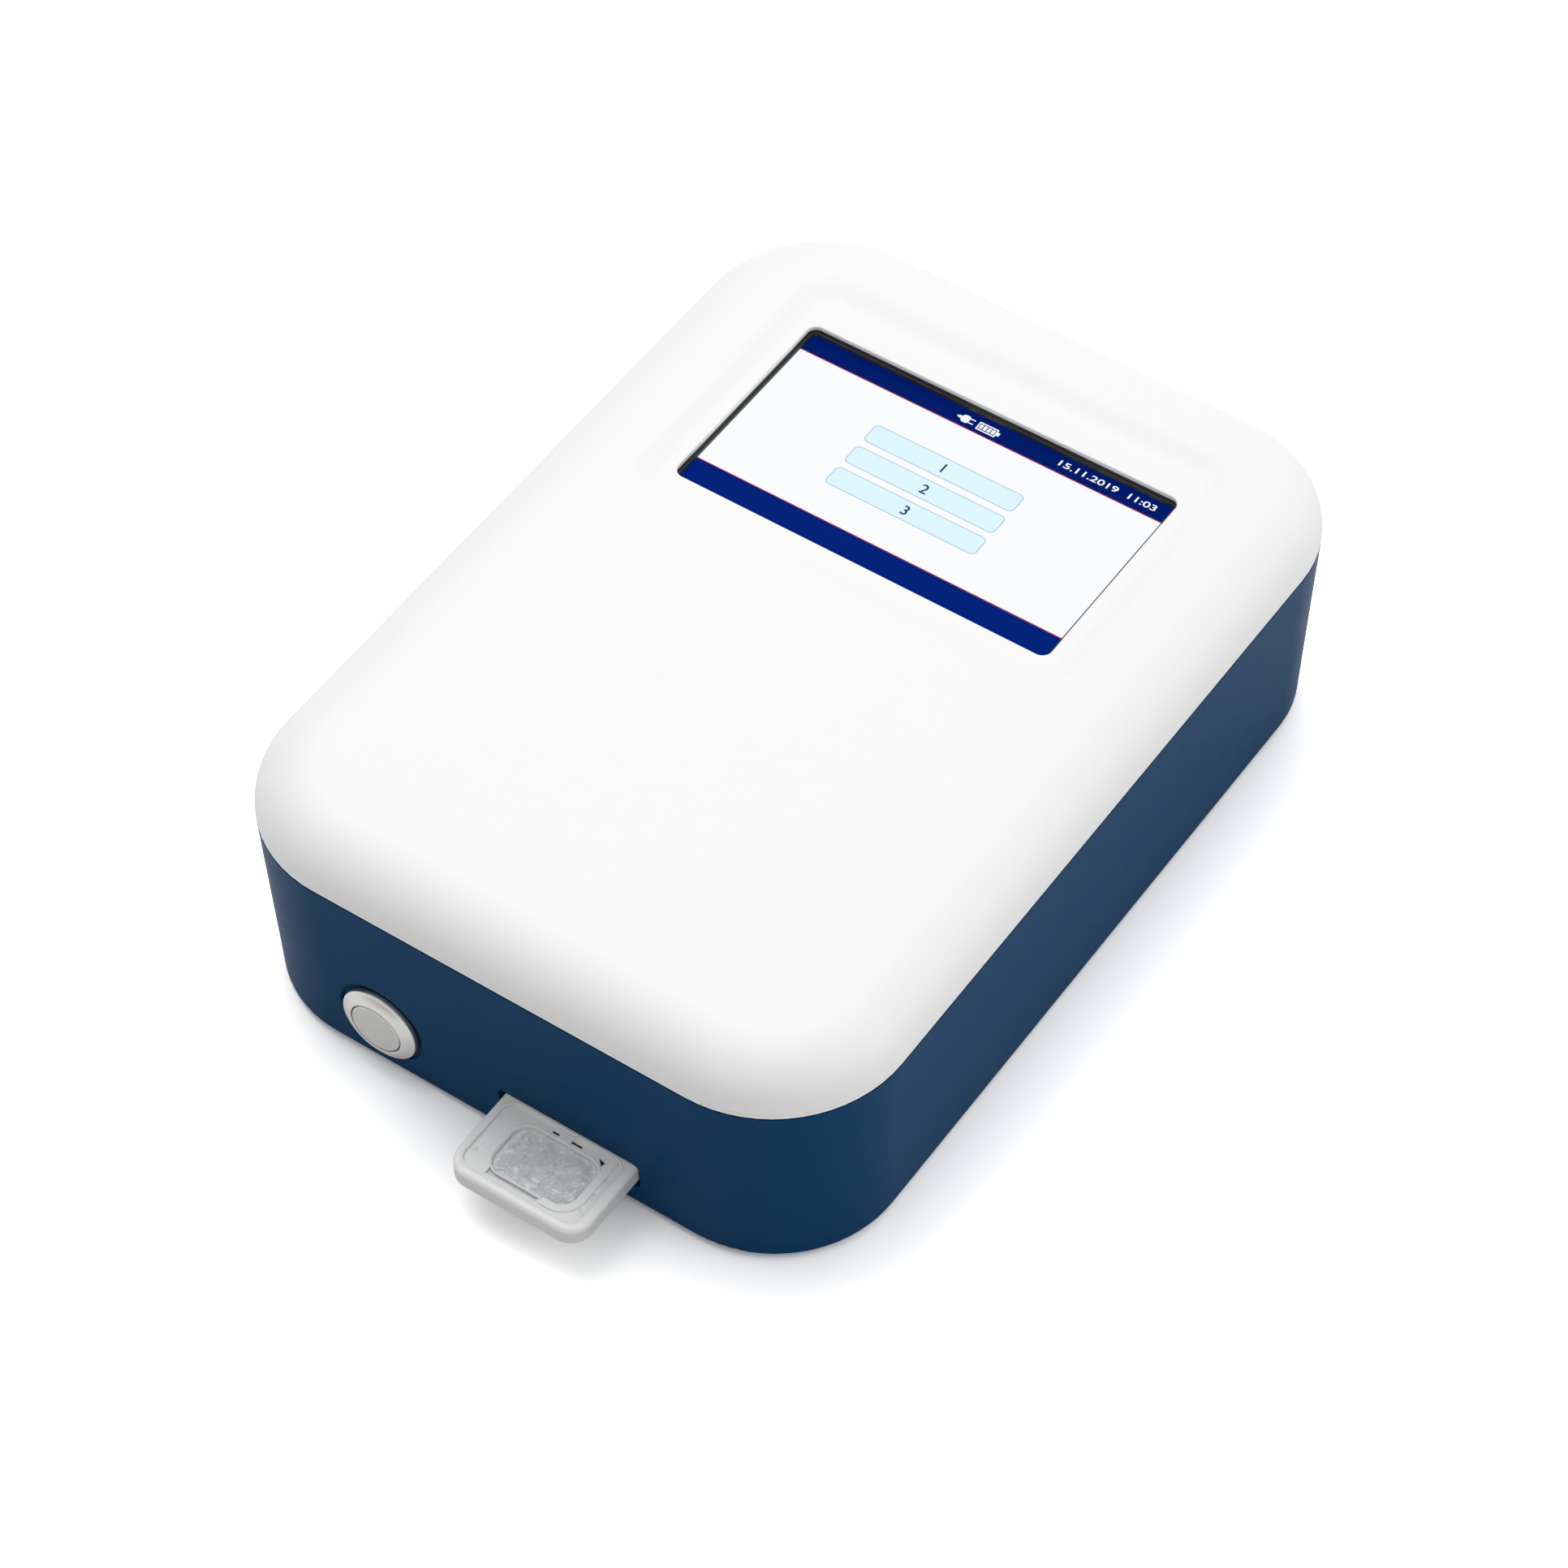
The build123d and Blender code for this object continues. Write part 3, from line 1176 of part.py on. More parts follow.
with BuildPart() as scanner_frame:
    slab(
        CART_X - PLATE_W / 2,
        CART_X + PLATE_W / 2,
        PLATE_FRONT_Y,
        PLATE_BACK_Y,
        PLATE_Z,
        PLATE_Z + PLATE_T,
    )
    for y in (PLATE_FRONT_Y + UPRIGHT_T, PLATE_BACK_Y):
        with BuildSketch(facing_front(y)):
            upright_face()
        extrude(amount=UPRIGHT_T)
    posts(frame_screw_points, SMALL_HEAD_R + HEAD_GAP, PLATE_Z + PLATE_T, UPRIGHT_TOP_Z, Mode.SUBTRACT)
    posts(frame_screw_points, SMALL_SCREW_R + HOLE_GAP, PLATE_Z, UPRIGHT_TOP_Z, Mode.SUBTRACT)
    slab(
        CART_X - PLATE_W / 2 + 14,
        CART_X + PLATE_W / 2 - 14,
        PLATE_FRONT_Y + 6,
        PLATE_BACK_Y - 6,
        PLATE_Z,
        PLATE_Z + PLATE_T,
        Mode.SUBTRACT,
    )
    with BuildSketch(facing_front(PLATE_FRONT_Y)):
        with Locations((screw_x, SCREW_Z)):
            Circle(BEARING_R)
    extrude(amount=-UPRIGHT_T, mode=Mode.SUBTRACT)
    with BuildSketch(facing_front(PLATE_BACK_Y - UPRIGHT_T)):
        with Locations((screw_x, SCREW_Z)):
            Circle(MOTOR_PILOT_R + HOLE_GAP)
        with Locations(*motor_hole_points):
            Circle(TINY_SCREW_R + HOLE_GAP)
    extrude(amount=-UPRIGHT_T, mode=Mode.SUBTRACT)
save(scanner_frame, "scanner_frame")

with BuildPart() as frame_screws:
    with Locations(pointing_down(frame_screw_points, PLATE_Z + PLATE_T)):
        add(small_screw)
save(frame_screws, "frame_screws")

with BuildPart() as guide_rods:
    with BuildSketch(facing_front(PLATE_FRONT_Y)):
        with Locations(*rod_points):
            Circle(ROD_R)
    extrude(amount=-(PLATE_BACK_Y - PLATE_FRONT_Y))
save(guide_rods, "guide_rods")

with BuildPart() as screw_bearing:
    add(
        turned(
            screw_x,
            SCREW_Z,
            [
                (JOURNAL_R + RUN_GAP, PLATE_FRONT_Y - 0.8),
                (BEARING_R, PLATE_FRONT_Y - 0.8),
                (BEARING_R, PLATE_FRONT_Y + UPRIGHT_T),
                (BEARING_FLANGE_R, PLATE_FRONT_Y + UPRIGHT_T),
                (BEARING_FLANGE_R, PLATE_FRONT_Y + UPRIGHT_T + 0.8),
                (JOURNAL_R + RUN_GAP, PLATE_FRONT_Y + UPRIGHT_T + 0.8),
            ],
        )
    )
save(screw_bearing, "screw_bearing")

with BuildPart() as stepper_motor:
    with BuildSketch(facing_front(PLATE_BACK_Y)):
        with Locations((screw_x, SCREW_Z)):
            RectangleRounded(MOTOR_W, MOTOR_W, 1.5)
    extrude(amount=-MOTOR_L)
    with BuildSketch(facing_front(PLATE_BACK_Y)):
        with Locations((screw_x, SCREW_Z)):
            Circle(MOTOR_PILOT_R)
    extrude(amount=UPRIGHT_T * 0.75)
    with BuildSketch(facing_front(PLATE_BACK_Y - UPRIGHT_T)):
        with Locations((screw_x, SCREW_Z)):
            Circle(JOURNAL_R + RUN_GAP)
    extrude(amount=-(UPRIGHT_T + MOTOR_L / 2), mode=Mode.SUBTRACT)
    with BuildSketch(facing_front(PLATE_BACK_Y)):
        with Locations(*motor_hole_points):
            Circle(TINY_SCREW_R + THREAD_GAP)
    extrude(amount=-TINY_SCREW_LEN, mode=Mode.SUBTRACT)
save(stepper_motor, "stepper_motor")

with BuildPart() as motor_screws:
    with Locations([Location((x, PLATE_BACK_Y - UPRIGHT_T, z), (-90, 0, 0)) for x, z in motor_hole_points]):
        add(tiny_screw)
save(motor_screws, "motor_screws")

screw_front_y = PLATE_FRONT_Y + UPRIGHT_T + 0.8 + HOLE_GAP
screw_back_y = PLATE_BACK_Y - UPRIGHT_T - 1.0
with BuildPart() as lead_screw:
    add(
        turned(
            screw_x,
            SCREW_Z,
            [
                (0, PLATE_FRONT_Y - 0.5),
                (JOURNAL_R, PLATE_FRONT_Y - 0.5),
                (JOURNAL_R, screw_front_y),
                (SCREW_R, screw_front_y),
                (SCREW_R, screw_back_y),
                (JOURNAL_R, screw_back_y),
                (JOURNAL_R, PLATE_BACK_Y + MOTOR_L / 2 - 1),
                (0, PLATE_BACK_Y + MOTOR_L / 2 - 1),
            ],
        )
    )
save(lead_screw, "lead_screw")

# ---- scanner: carriage with its optics
carriage_low_z = ROD_Z - CARRIAGE_T / 2
carriage_top_z = ROD_Z + CARRIAGE_T / 2
carriage_front_y = CARRIAGE_Y - CARRIAGE_L / 2
optics_screw_points = [
    (CART_X + OPTICS_X0 + OPTICS_SCREW_IN, CARRIAGE_Y),
    (CART_X + OPTICS_X1 - OPTICS_SCREW_IN, CARRIAGE_Y),
]
with BuildPart() as scan_carriage:
    slab(
        CART_X - CARRIAGE_W / 2,
        CART_X + CARRIAGE_W / 2,
        carriage_front_y,
        carriage_front_y + CARRIAGE_L,
        carriage_low_z,
        carriage_top_z,
    )
    slab(
        screw_x - TOWER_W / 2,
        screw_x + TOWER_W / 2,
        CARRIAGE_Y - CARRIAGE_L / 4,
        CARRIAGE_Y + CARRIAGE_L / 4,
        carriage_top_z,
        SCREW_Z + TOWER_W / 2,
    )
    # round bore on the left rod, open slot on the right rod
    with BuildSketch(facing_front(carriage_front_y)):
        with Locations(rod_points[0]):
            Circle(ROD_R + RUN_GAP)
        with Locations((CART_X + CARRIAGE_W / 2, ROD_Z)):
            SlotOverall(
                2 * (CARRIAGE_W / 2 - ROD_DX + ROD_R + RUN_GAP), 2 * (ROD_R + RUN_GAP)
            )
        with Locations((screw_x, SCREW_Z)):
            Circle(NUT_R)
    extrude(amount=-CARRIAGE_L, mode=Mode.SUBTRACT)
    posts([(CART_X, CARRIAGE_Y)], BEAM_R, carriage_low_z, carriage_top_z, Mode.SUBTRACT)
    posts([(CART_X, CARRIAGE_Y)], FILTER_R, carriage_top_z - FILTER_SINK, carriage_top_z, Mode.SUBTRACT)
    posts(optics_screw_points, TINY_SCREW_R + HOLE_GAP, carriage_low_z, carriage_top_z, Mode.SUBTRACT)
    posts(
        optics_screw_points,
        TINY_HEAD_R + HOLE_GAP,
        carriage_low_z + TINY_SCREW_LEN / 2,
        carriage_top_z,
        Mode.SUBTRACT,
    )
save(scan_carriage, "scan_carriage")

with BuildPart() as screw_nut:
    nut_front_y = CARRIAGE_Y - CARRIAGE_L / 4
    add(
        turned(
            screw_x,
            SCREW_Z,
            [
                (SCREW_R + RUN_GAP, nut_front_y - NUT_FLANGE_T),
                (NUT_FLANGE_R, nut_front_y - NUT_FLANGE_T),
                (NUT_FLANGE_R, nut_front_y),
                (NUT_R, nut_front_y),
                (NUT_R, nut_front_y + CARRIAGE_L / 2),
                (SCREW_R + RUN_GAP, nut_front_y + CARRIAGE_L / 2),
            ],
        )
    )
save(screw_nut, "screw_nut")

with BuildPart() as optics_block:
    with BuildSketch(Plane.XZ.offset(-(CARRIAGE_Y + OPTICS_L / 2))):
        with BuildLine():
            Polyline(
                (CART_X + OPTICS_X0, carriage_low_z),
                (CART_X + OPTICS_X0, OPTICS_LOW_Z),
                (CART_X + OPTICS_X1 - OPTICS_CHAMFER, OPTICS_LOW_Z),
                (CART_X + OPTICS_X1, OPTICS_LOW_Z + OPTICS_CHAMFER),
                (CART_X + OPTICS_X1, carriage_low_z),
                close=True,
            )
        make_face()
    extrude(amount=OPTICS_L)
    posts([(CART_X, CARRIAGE_Y)], BEAM_R, OPTICS_LOW_Z, carriage_low_z, Mode.SUBTRACT)
    posts([(CART_X, CARRIAGE_Y)], LENS_R, OPTICS_LOW_Z, OPTICS_LOW_Z + LENS_T, Mode.SUBTRACT)
    posts(
        optics_screw_points,
        TINY_SCREW_R + THREAD_GAP,
        carriage_low_z - TINY_SCREW_LEN,
        carriage_low_z,
        Mode.SUBTRACT,
    )
save(optics_block, "optics_block")

with BuildPart() as objective_lens:
    with Locations((CART_X, CARRIAGE_Y, OPTICS_LOW_Z)):
        Cylinder(LENS_R, LENS_T, align=ON_END)
    ball_r = (LENS_R**2 + LENS_BULGE**2) / (2 * LENS_BULGE)
    with Locations((CART_X, CARRIAGE_Y, OPTICS_LOW_Z + ball_r)):
        Sphere(ball_r, mode=Mode.INTERSECT)
save(objective_lens, "objective_lens")

with BuildPart() as emission_filter:
    filter_z = carriage_top_z - FILTER_SINK
    posts([(CART_X, CARRIAGE_Y)], FILTER_R, filter_z, filter_z + FILTER_T)
save(emission_filter, "emission_filter")

with BuildPart() as photodiode:
    posts([(CART_X, CARRIAGE_Y)], DIODE_R, carriage_top_z - DIODE_T, carriage_top_z)
save(photodiode, "photodiode")

with BuildPart() as detector_board:
    slab(
        CART_X + DETECTOR_X0,
        CART_X + DETECTOR_X1,
        CARRIAGE_Y - DETECTOR_L / 2,
        CARRIAGE_Y + DETECTOR_L / 2,
        carriage_top_z,
        carriage_top_z + DETECTOR_T,
    )
save(detector_board, "detector_board")

with BuildPart() as optics_screws:
    with Locations(pointing_down(optics_screw_points, carriage_low_z + TINY_SCREW_LEN / 2)):
        add(tiny_screw)
save(optics_screws, "optics_screws")
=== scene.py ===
"""Rapid test reader: finishes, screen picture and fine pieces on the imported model.

The file is laid out as an add-on: one settings group and one operator for each group of
pieces, one operator for the studio, and a panel that lists them. Sizes in the settings are in
metres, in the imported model's frame: X right along the front, Y to the back, Z up, the origin on
the table under the middle of the body.
"""

import json
import math

import bmesh
import bpy
from mathutils import Matrix, Vector, noise


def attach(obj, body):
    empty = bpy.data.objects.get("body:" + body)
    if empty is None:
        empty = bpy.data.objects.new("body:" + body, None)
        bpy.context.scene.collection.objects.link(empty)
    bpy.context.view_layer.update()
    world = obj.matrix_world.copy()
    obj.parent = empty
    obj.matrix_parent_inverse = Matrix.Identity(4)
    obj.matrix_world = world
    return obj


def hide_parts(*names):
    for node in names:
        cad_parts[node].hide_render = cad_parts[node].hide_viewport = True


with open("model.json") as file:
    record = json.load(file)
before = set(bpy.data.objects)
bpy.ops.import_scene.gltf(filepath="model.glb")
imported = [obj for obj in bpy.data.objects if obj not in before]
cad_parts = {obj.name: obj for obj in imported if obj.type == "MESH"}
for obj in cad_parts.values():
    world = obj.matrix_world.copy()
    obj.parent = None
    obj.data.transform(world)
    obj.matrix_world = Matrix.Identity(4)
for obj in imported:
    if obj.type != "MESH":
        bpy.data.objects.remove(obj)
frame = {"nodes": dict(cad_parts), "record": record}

bl_info = {
    "name": "Rapid test reader",
    "version": (1, 0, 0),
    "blender": (4, 5, 0),
    "location": "View3D > Sidebar > Reader",
    "description": "Finishes, screen picture and fine pieces of a bench-top test reader",
    "category": "Object",
}

MM = 0.001
TURN = 2 * math.pi

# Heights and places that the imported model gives, in millimetres.
COVER_Z = 60.75
TOP_Z = 73.5
RIM_Z = 71.9
PANEL_Z = 67.3
DISPLAY_Y = 56.65
OPENING_W = 112.4
OPENING_L = 63.5
DISH_Y = 59.8
BUTTON_X = -38.9
BUTTON_Z = 18.2
BUTTON_FRONT_Y = -128.361
FLANGE_EDGE_Y = -126.911
FLANGE_BACK_Y = -125.511
CART_X = 18.4
SLIT_Y = -128.3
PAD_X = 19.3
PAD_Y = -137.6
PAD_FOOT_Z = 14.95
PAD_TOP_Z = 16.5
LID_FLOOR_Z = 15.5
LID_FACE_Z = 17.7
CONTROL_LINE_Y = -84.0
TEST_LINE_Y = -91.0

# The dish round the display, and the wall of the display's opening, in millimetres.
DISH_W = 131.0
DISH_L = 90.4
DISH_R = 10.0
DISH_BORDER = 5.7
DISH_SOFT = 1.6
OPENING_R = 2.5
OPENING_EDGE_R = 0.35
OPENING_DEPTH = 1.2
LEDGE = 3.5
LEDGE_R = 2.6

# The cover's screw bosses and the lip that seats in the base, in millimetres.
BOSS_R = 4.0
BOSS_BORE_R = 2.3
BOSS_FOOT_Z = 58.3
CORNER_BOSS_X = 72.0
CORNER_BOSS_Y = 108.0
SIDE_BOSS_X = 80.5
LIP_TOP_Z = 62.35
LIP_END_Z = 56.3
LIP_OUT = 3.3
LIP_IN = 4.9

# Radius, in metres, that a moulded node's edges are rounded to.
EDGES = {"cartridge_lid": 0.00016, "cartridge_tray": 0.00016, "display_bezel": 0.0001}


# ---------------------------------------------------------------- shader maths


class Value:
    """A number in a shader: a node socket or a constant, joined by ordinary arithmetic."""

    def __init__(self, tree, source):
        self.tree = tree
        self.source = source

    def feed(self, socket):
        if isinstance(self.source, bpy.types.NodeSocket):
            self.tree.links.new(self.source, socket)
        else:
            socket.default_value = self.source

    def math(self, operation, *others, clamp=False):
        node = self.tree.nodes.new("ShaderNodeMath")
        node.operation = operation
        node.use_clamp = clamp
        for socket, value in zip(node.inputs, (self, *others)):
            value = value if isinstance(value, Value) else Value(self.tree, float(value))
            value.feed(socket)
        return Value(self.tree, node.outputs[0])

    def _after(self, operation, other):
        return Value(self.tree, float(other)).math(operation, self)

    def __add__(self, other):
        return self.math("ADD", other)

    def __radd__(self, other):
        return self._after("ADD", other)

    def __sub__(self, other):
        return self.math("SUBTRACT", other)

    def __rsub__(self, other):
        return self._after("SUBTRACT", other)

    def __mul__(self, other):
        return self.math("MULTIPLY", other)

    def __rmul__(self, other):
        return self._after("MULTIPLY", other)

    def __truediv__(self, other):
        return self.math("DIVIDE", other)

    def __pow__(self, other):
        return self.math("POWER", other)

    def abs(self):
        return self.math("ABSOLUTE")

    def most(self, other):
        return self.math("MAXIMUM", other)

    def clamped(self):
        return self.math("ADD", 0.0, clamp=True)

    def step(self, start, end):
        """0 before start and 1 after end, with a soft change between them."""
        node = self.tree.nodes.new("ShaderNodeMapRange")
        node.interpolation_type = "SMOOTHSTEP"
        for name, value in (("From Min", start), ("From Max", end)):
            value = value if isinstance(value, Value) else Value(self.tree, float(value))
            value.feed(node.inputs[name])
        self.feed(node.inputs["Value"])
        return Value(self.tree, node.outputs["Result"])


class Finish:
    """A material that ends in a Principled BSDF, built up through a few short methods."""

    def __init__(self, name, **constants):
        self.material = bpy.data.materials.new(name)
        self.material.use_nodes = True
        self.tree = self.material.node_tree
        self.surface = self.tree.nodes["Principled BSDF"]
        self.place = self.node("ShaderNodeTexCoord", output="Object").source
        for socket, value in constants.items():
            self.set(socket.replace("_", " "), value)

    def set(self, socket, value):
        """Gives one input of the surface a constant, a Value or a socket."""
        target = self.surface.inputs[socket]
        if isinstance(value, Value):
            value.feed(target)
        elif isinstance(value, (tuple, list)):
            target.default_value = (*value, 1.0)[: len(target.default_value)]
        else:
            target.default_value = value

    def node(self, kind, settings=None, inputs=None, output=0):
        node = self.tree.nodes.new(kind)
        for name, value in (settings or {}).items():
            setattr(node, name, value)
        for name, value in (inputs or {}).items():
            if isinstance(value, Value):
                value.feed(node.inputs[name])
            elif isinstance(value, bpy.types.NodeSocket):
                self.tree.links.new(value, node.inputs[name])
            else:
                node.inputs[name].default_value = value
        return Value(self.tree, node.outputs[output])

    def axes(self):
        """The point's X, Y and Z, in metres."""
        split = self.node("ShaderNodeSeparateXYZ", inputs={"Vector": self.place}).source.node
        return [Value(self.tree, socket) for socket in split.outputs]

    def stretched(self, x, y, z):
        """The point with its axes multiplied, for streaks."""
        return self.node(
            "ShaderNodeVectorMath",
            settings={"operation": "MULTIPLY"},
            inputs={0: self.place, 1: (x, y, z)},
        ).source

    def noise(self, scale, detail=2.0, roughness=0.5, at=None):
        return self.node(
            "ShaderNodeTexNoise",
            inputs={
                "Vector": at or self.place,
                "Scale": scale,
                "Detail": detail,
                "Roughness": roughness,
            },
        )

    def line_noise(self, along, scale, detail=2.0):
        """Noise that changes with one number only."""
        return self.node(
            "ShaderNodeTexNoise",
            settings={"noise_dimensions": "1D"},
            inputs={"W": along, "Scale": scale, "Detail": detail},
        )

    def mix(self, factor, first, second):
        """Colour between two colours."""
        node = self.tree.nodes.new("ShaderNodeMix")
        node.data_type = "RGBA"
        factor.feed(node.inputs[0])
        for socket, colour in ((node.inputs[6], first), (node.inputs[7], second)):
            if isinstance(colour, Value):
                colour.feed(socket)
            else:
                socket.default_value = (*colour, 1.0)
        return Value(self.tree, node.outputs[2])

    def bump(self, height, depth, strength=1.0):
        """Relief on the surface: depth is the distance, in metres, of a height of 1."""
        relief = self.node(
            "ShaderNodeBump",
            inputs={"Height": height, "Distance": depth, "Strength": strength},
            output="Normal",
        )
        self.set("Normal", relief)


def tint(colour, factor):
    return tuple(min(1.0, part * factor) for part in colour)


def linear(*parts):
    """Scene colour from an sRGB colour of 0 to 255."""
    scaled = [part / 255 for part in parts]
    return tuple(v / 12.92 if v < 0.04045 else ((v + 0.055) / 1.055) ** 2.4 for v in scaled)


# ---------------------------------------------------------------- finishes


def moulded(name, colour, roughness, grain=0.00035, depth=0.000012, sheen=0.5, shade=0.03):
    """Moulded plastic: spark-eroded grain, faint flow mottling and uneven gloss."""
    finish = Finish(name, Specular_IOR_Level=sheen)
    fine = finish.noise(1 / grain, 3.0)
    broad = finish.noise(22.0, 3.0, 0.6)
    handled = finish.noise(160.0, 4.0, 0.65)
    finish.set("Base Color", finish.mix(broad, tint(colour, 1 - shade), tint(colour, 1 + shade)))
    finish.set("Roughness", roughness + (handled - 0.5) * 0.08 + (fine - 0.5) * 0.06)
    finish.bump(fine, depth)
    return finish


def satin_metal(name, colour, roughness, streaks=(1.0, 1.0, 1.0), grain=9000.0):
    """Brushed or rolled metal: long fine streaks and a cloudy gloss."""
    finish = Finish(name, Metallic=1.0)
    lines = finish.noise(grain, 3.0, 0.6, at=finish.stretched(*streaks))
    cloud = finish.noise(120.0, 3.0, 0.6)
    finish.set("Base Color", finish.mix(cloud, tint(colour, 0.93), tint(colour, 1.04)))
    finish.set("Roughness", roughness + (lines - 0.5) * 0.16 + (cloud - 0.5) * 0.06)
    finish.bump(lines, 0.000006)
    return finish


def turned_metal(name, colour, roughness, x, z, pitch=0.00009):
    """Metal faced on a lathe about a line along Y: fine rings round that line."""
    finish = Finish(name, Metallic=1.0)
    px, _, pz = finish.axes()
    radius = ((px - x) ** 2 + (pz - z) ** 2) ** 0.5
    rings = finish.line_noise(radius, 1 / pitch, 3.0)
    cloud = finish.noise(260.0, 4.0, 0.6)
    finish.set("Base Color", finish.mix(cloud, tint(colour, 0.94), tint(colour, 1.03)))
    finish.set("Roughness", roughness + (rings - 0.5) * 0.14 + (cloud - 0.5) * 0.05)
    finish.bump(rings, 0.000004)
    return finish


def rubbery(name, colour, roughness=0.72):
    """Matt rubber with a dusty bloom."""
    finish = Finish(name, Specular_IOR_Level=0.3)
    fine = finish.noise(4200.0, 3.0)
    bloom = finish.noise(380.0, 4.0, 0.7)
    finish.set("Base Color", finish.mix(bloom, colour, tint(colour, 1.5)))
    finish.set("Roughness", roughness + (bloom - 0.5) * 0.15)
    finish.bump(fine, 0.00001)
    return finish


def circuit_board(name, mask, copper):
    """Solder mask over tracks, with plated holes showing through it."""
    finish = Finish(name)
    px, py, _ = finish.axes()
    pitch = 0.00254
    lane = ((px / pitch).math("FRACT") - 0.5).abs()
    cross = ((py / pitch).math("FRACT") - 0.5).abs()
    patch = finish.noise(60.0, 0.0)
    track = (1 - lane.step(0.08, 0.11)) * patch.step(0.48, 0.5)
    track = track.most((1 - cross.step(0.08, 0.11)) * (1 - patch.step(0.44, 0.46)))
    spot = (lane**2 + cross**2) ** 0.5
    hole = (1 - spot.step(0.17, 0.2)) * finish.noise(400.0, 0.0).step(0.56, 0.58)
    board = finish.mix(track, mask, tint(mask, 1.7))
    finish.set("Base Color", finish.mix(hole, board, copper))
    finish.set("Metallic", hole)
    finish.set("Roughness", 0.34 + finish.noise(900.0, 2.0) * 0.12)
    finish.bump(track * 0.5 + hole, 0.00003)
    return finish


def ribbon_film(name, colour):
    """Amber film over flat conductors that run along it."""
    finish = Finish(name, Specular_IOR_Level=0.6)
    px, _, _ = finish.axes()
    lane = ((px / 0.001).math("FRACT") - 0.5).abs()
    wire = 1 - lane.step(0.24, 0.3)
    finish.set("Base Color", finish.mix(wire, colour, tint(colour, 1.6)))
    finish.set("Roughness", 0.3 + finish.noise(700.0, 2.0) * 0.1)
    finish.bump(wire, 0.00003)
    return finish


def shrink_film(name, colour):
    """Shrunk film over cells: creases across them and a soft gloss."""
    finish = Finish(name, Specular_IOR_Level=0.6)
    crease = finish.noise(160.0, 4.0, 0.6, at=finish.stretched(3.0, 0.6, 0.6))
    finish.set("Base Color", finish.mix(crease, tint(colour, 0.85), tint(colour, 1.15)))
    finish.set("Roughness", 0.28 + crease * 0.14)
    finish.bump(crease, 0.0003, 0.7)
    return finish


def frosted(name, colour):
    """Translucent moulding: light scatters in it, its gloss is uneven, and painted shade darkens
    the floors of its sunk parts.
    """
    finish = Finish(
        name,
        Subsurface_Weight=0.12,
        Subsurface_Scale=0.0006,
        Subsurface_Radius=(1.0, 1.0, 0.9),
        Transmission_Weight=0.04,
        Coat_Weight=0.35,
        Coat_Roughness=0.12,
        IOR=1.49,
        Specular_IOR_Level=0.55,
    )
    fine = finish.noise(2600.0, 3.0)
    flow = finish.noise(110.0, 3.0, 0.6, at=finish.stretched(1.0, 0.4, 1.0))
    _, _, pz = finish.axes()
    # painted shade: the floor of each sunk part is made darker, for the shade that falls in it
    sunk_shade = (1 - pz.step(LID_FLOOR_Z * MM, LID_FACE_Z * MM)) * 0.75
    cloudy = finish.mix(flow, tint(colour, 0.94), tint(colour, 1.05))
    finish.set("Base Color", finish.mix(sunk_shade, cloudy, tint(colour, 0.62)))
    finish.set("Roughness", 0.34 + (flow - 0.5) * 0.12 + (fine - 0.5) * 0.05)
    finish.bump(fine * 0.4 + flow * 0.6, 0.00003)
    return finish


def fibre_mat(name, colour):
    """Pressed glass fibre: crossing strands and small tufts."""
    finish = Finish(name, Subsurface_Weight=0.15, Subsurface_Scale=0.001, Specular_IOR_Level=0.35)
    strands = finish.noise(1300.0, 5.0, 0.7)
    tufts = finish.noise(800.0, 5.0, 0.65)
    wet = tufts.step(0.3, 0.72)
    finish.set("Base Color", finish.mix(wet, (0.84, 0.88, 0.86), tint(colour, 1.1)))
    finish.set("Roughness", 0.78 + (strands - 0.5) * 0.2)
    finish.bump(strands * 0.5 + tufts * 0.5, 0.00035)
    return finish


def strip_paper(name, colour, line_colour):
    """Membrane strip with two printed lines across it."""
    finish = Finish(name, Specular_IOR_Level=0.25)
    _, py, _ = finish.axes()
    fibres = finish.noise(3000.0, 4.0, 0.7)
    control = 1 - (py - CONTROL_LINE_Y * MM).abs().step(0.0004, 0.0006)
    test = 1 - (py - TEST_LINE_Y * MM).abs().step(0.0004, 0.0006)
    lines = control.most(test * 0.6) * (0.8 + fibres * 0.2)
    paper = finish.mix(fibres, tint(colour, 0.93), colour)
    finish.set("Base Color", finish.mix(lines, paper, line_colour))
    finish.set("Roughness", 0.7 + fibres * 0.15)
    finish.bump(fibres, 0.00003)
    return finish


def optical(name, colour, roughness=0.02):
    """Polished optical glass with a faint coating and dust."""
    finish = Finish(name, Transmission_Weight=1.0, IOR=1.52, Coat_IOR=1.6)
    dust = finish.noise(2500.0, 4.0, 0.7)
    finish.set("Base Color", finish.mix(dust, colour, tint(colour, 0.96)))
    finish.set("Roughness", roughness + dust.step(0.62, 0.8) * 0.1)
    finish.set("Coat Weight", 0.2 + dust * 0.2)
    finish.bump(dust, 0.000001)
    return finish


def thin_glass(name):
    """Cover glass over the screen: nearly clear, with a weak reflection and fine dust."""
    finish = Finish(name, Metallic=1.0, Base_Color=(1.0, 1.0, 1.0))
    dust = finish.noise(900.0, 5.0, 0.75)
    smear = finish.noise(30.0, 3.0, 0.6)
    finish.set("Roughness", 0.04 + smear.step(0.4, 0.9) * 0.06)
    clear = finish.node("ShaderNodeBsdfTransparent", inputs={"Color": (0.98, 0.99, 1.0, 1.0)})
    rim = finish.node("ShaderNodeFresnel", inputs={"IOR": 1.2})
    factor = (0.0006 + rim * 0.03 + dust.step(0.7, 0.9) * 0.002).clamped()
    both = finish.node(
        "ShaderNodeMixShader", inputs={0: factor, 1: clear, 2: finish.surface.outputs[0]}
    )
    both.feed(finish.tree.nodes["Material Output"].inputs["Surface"])
    return finish


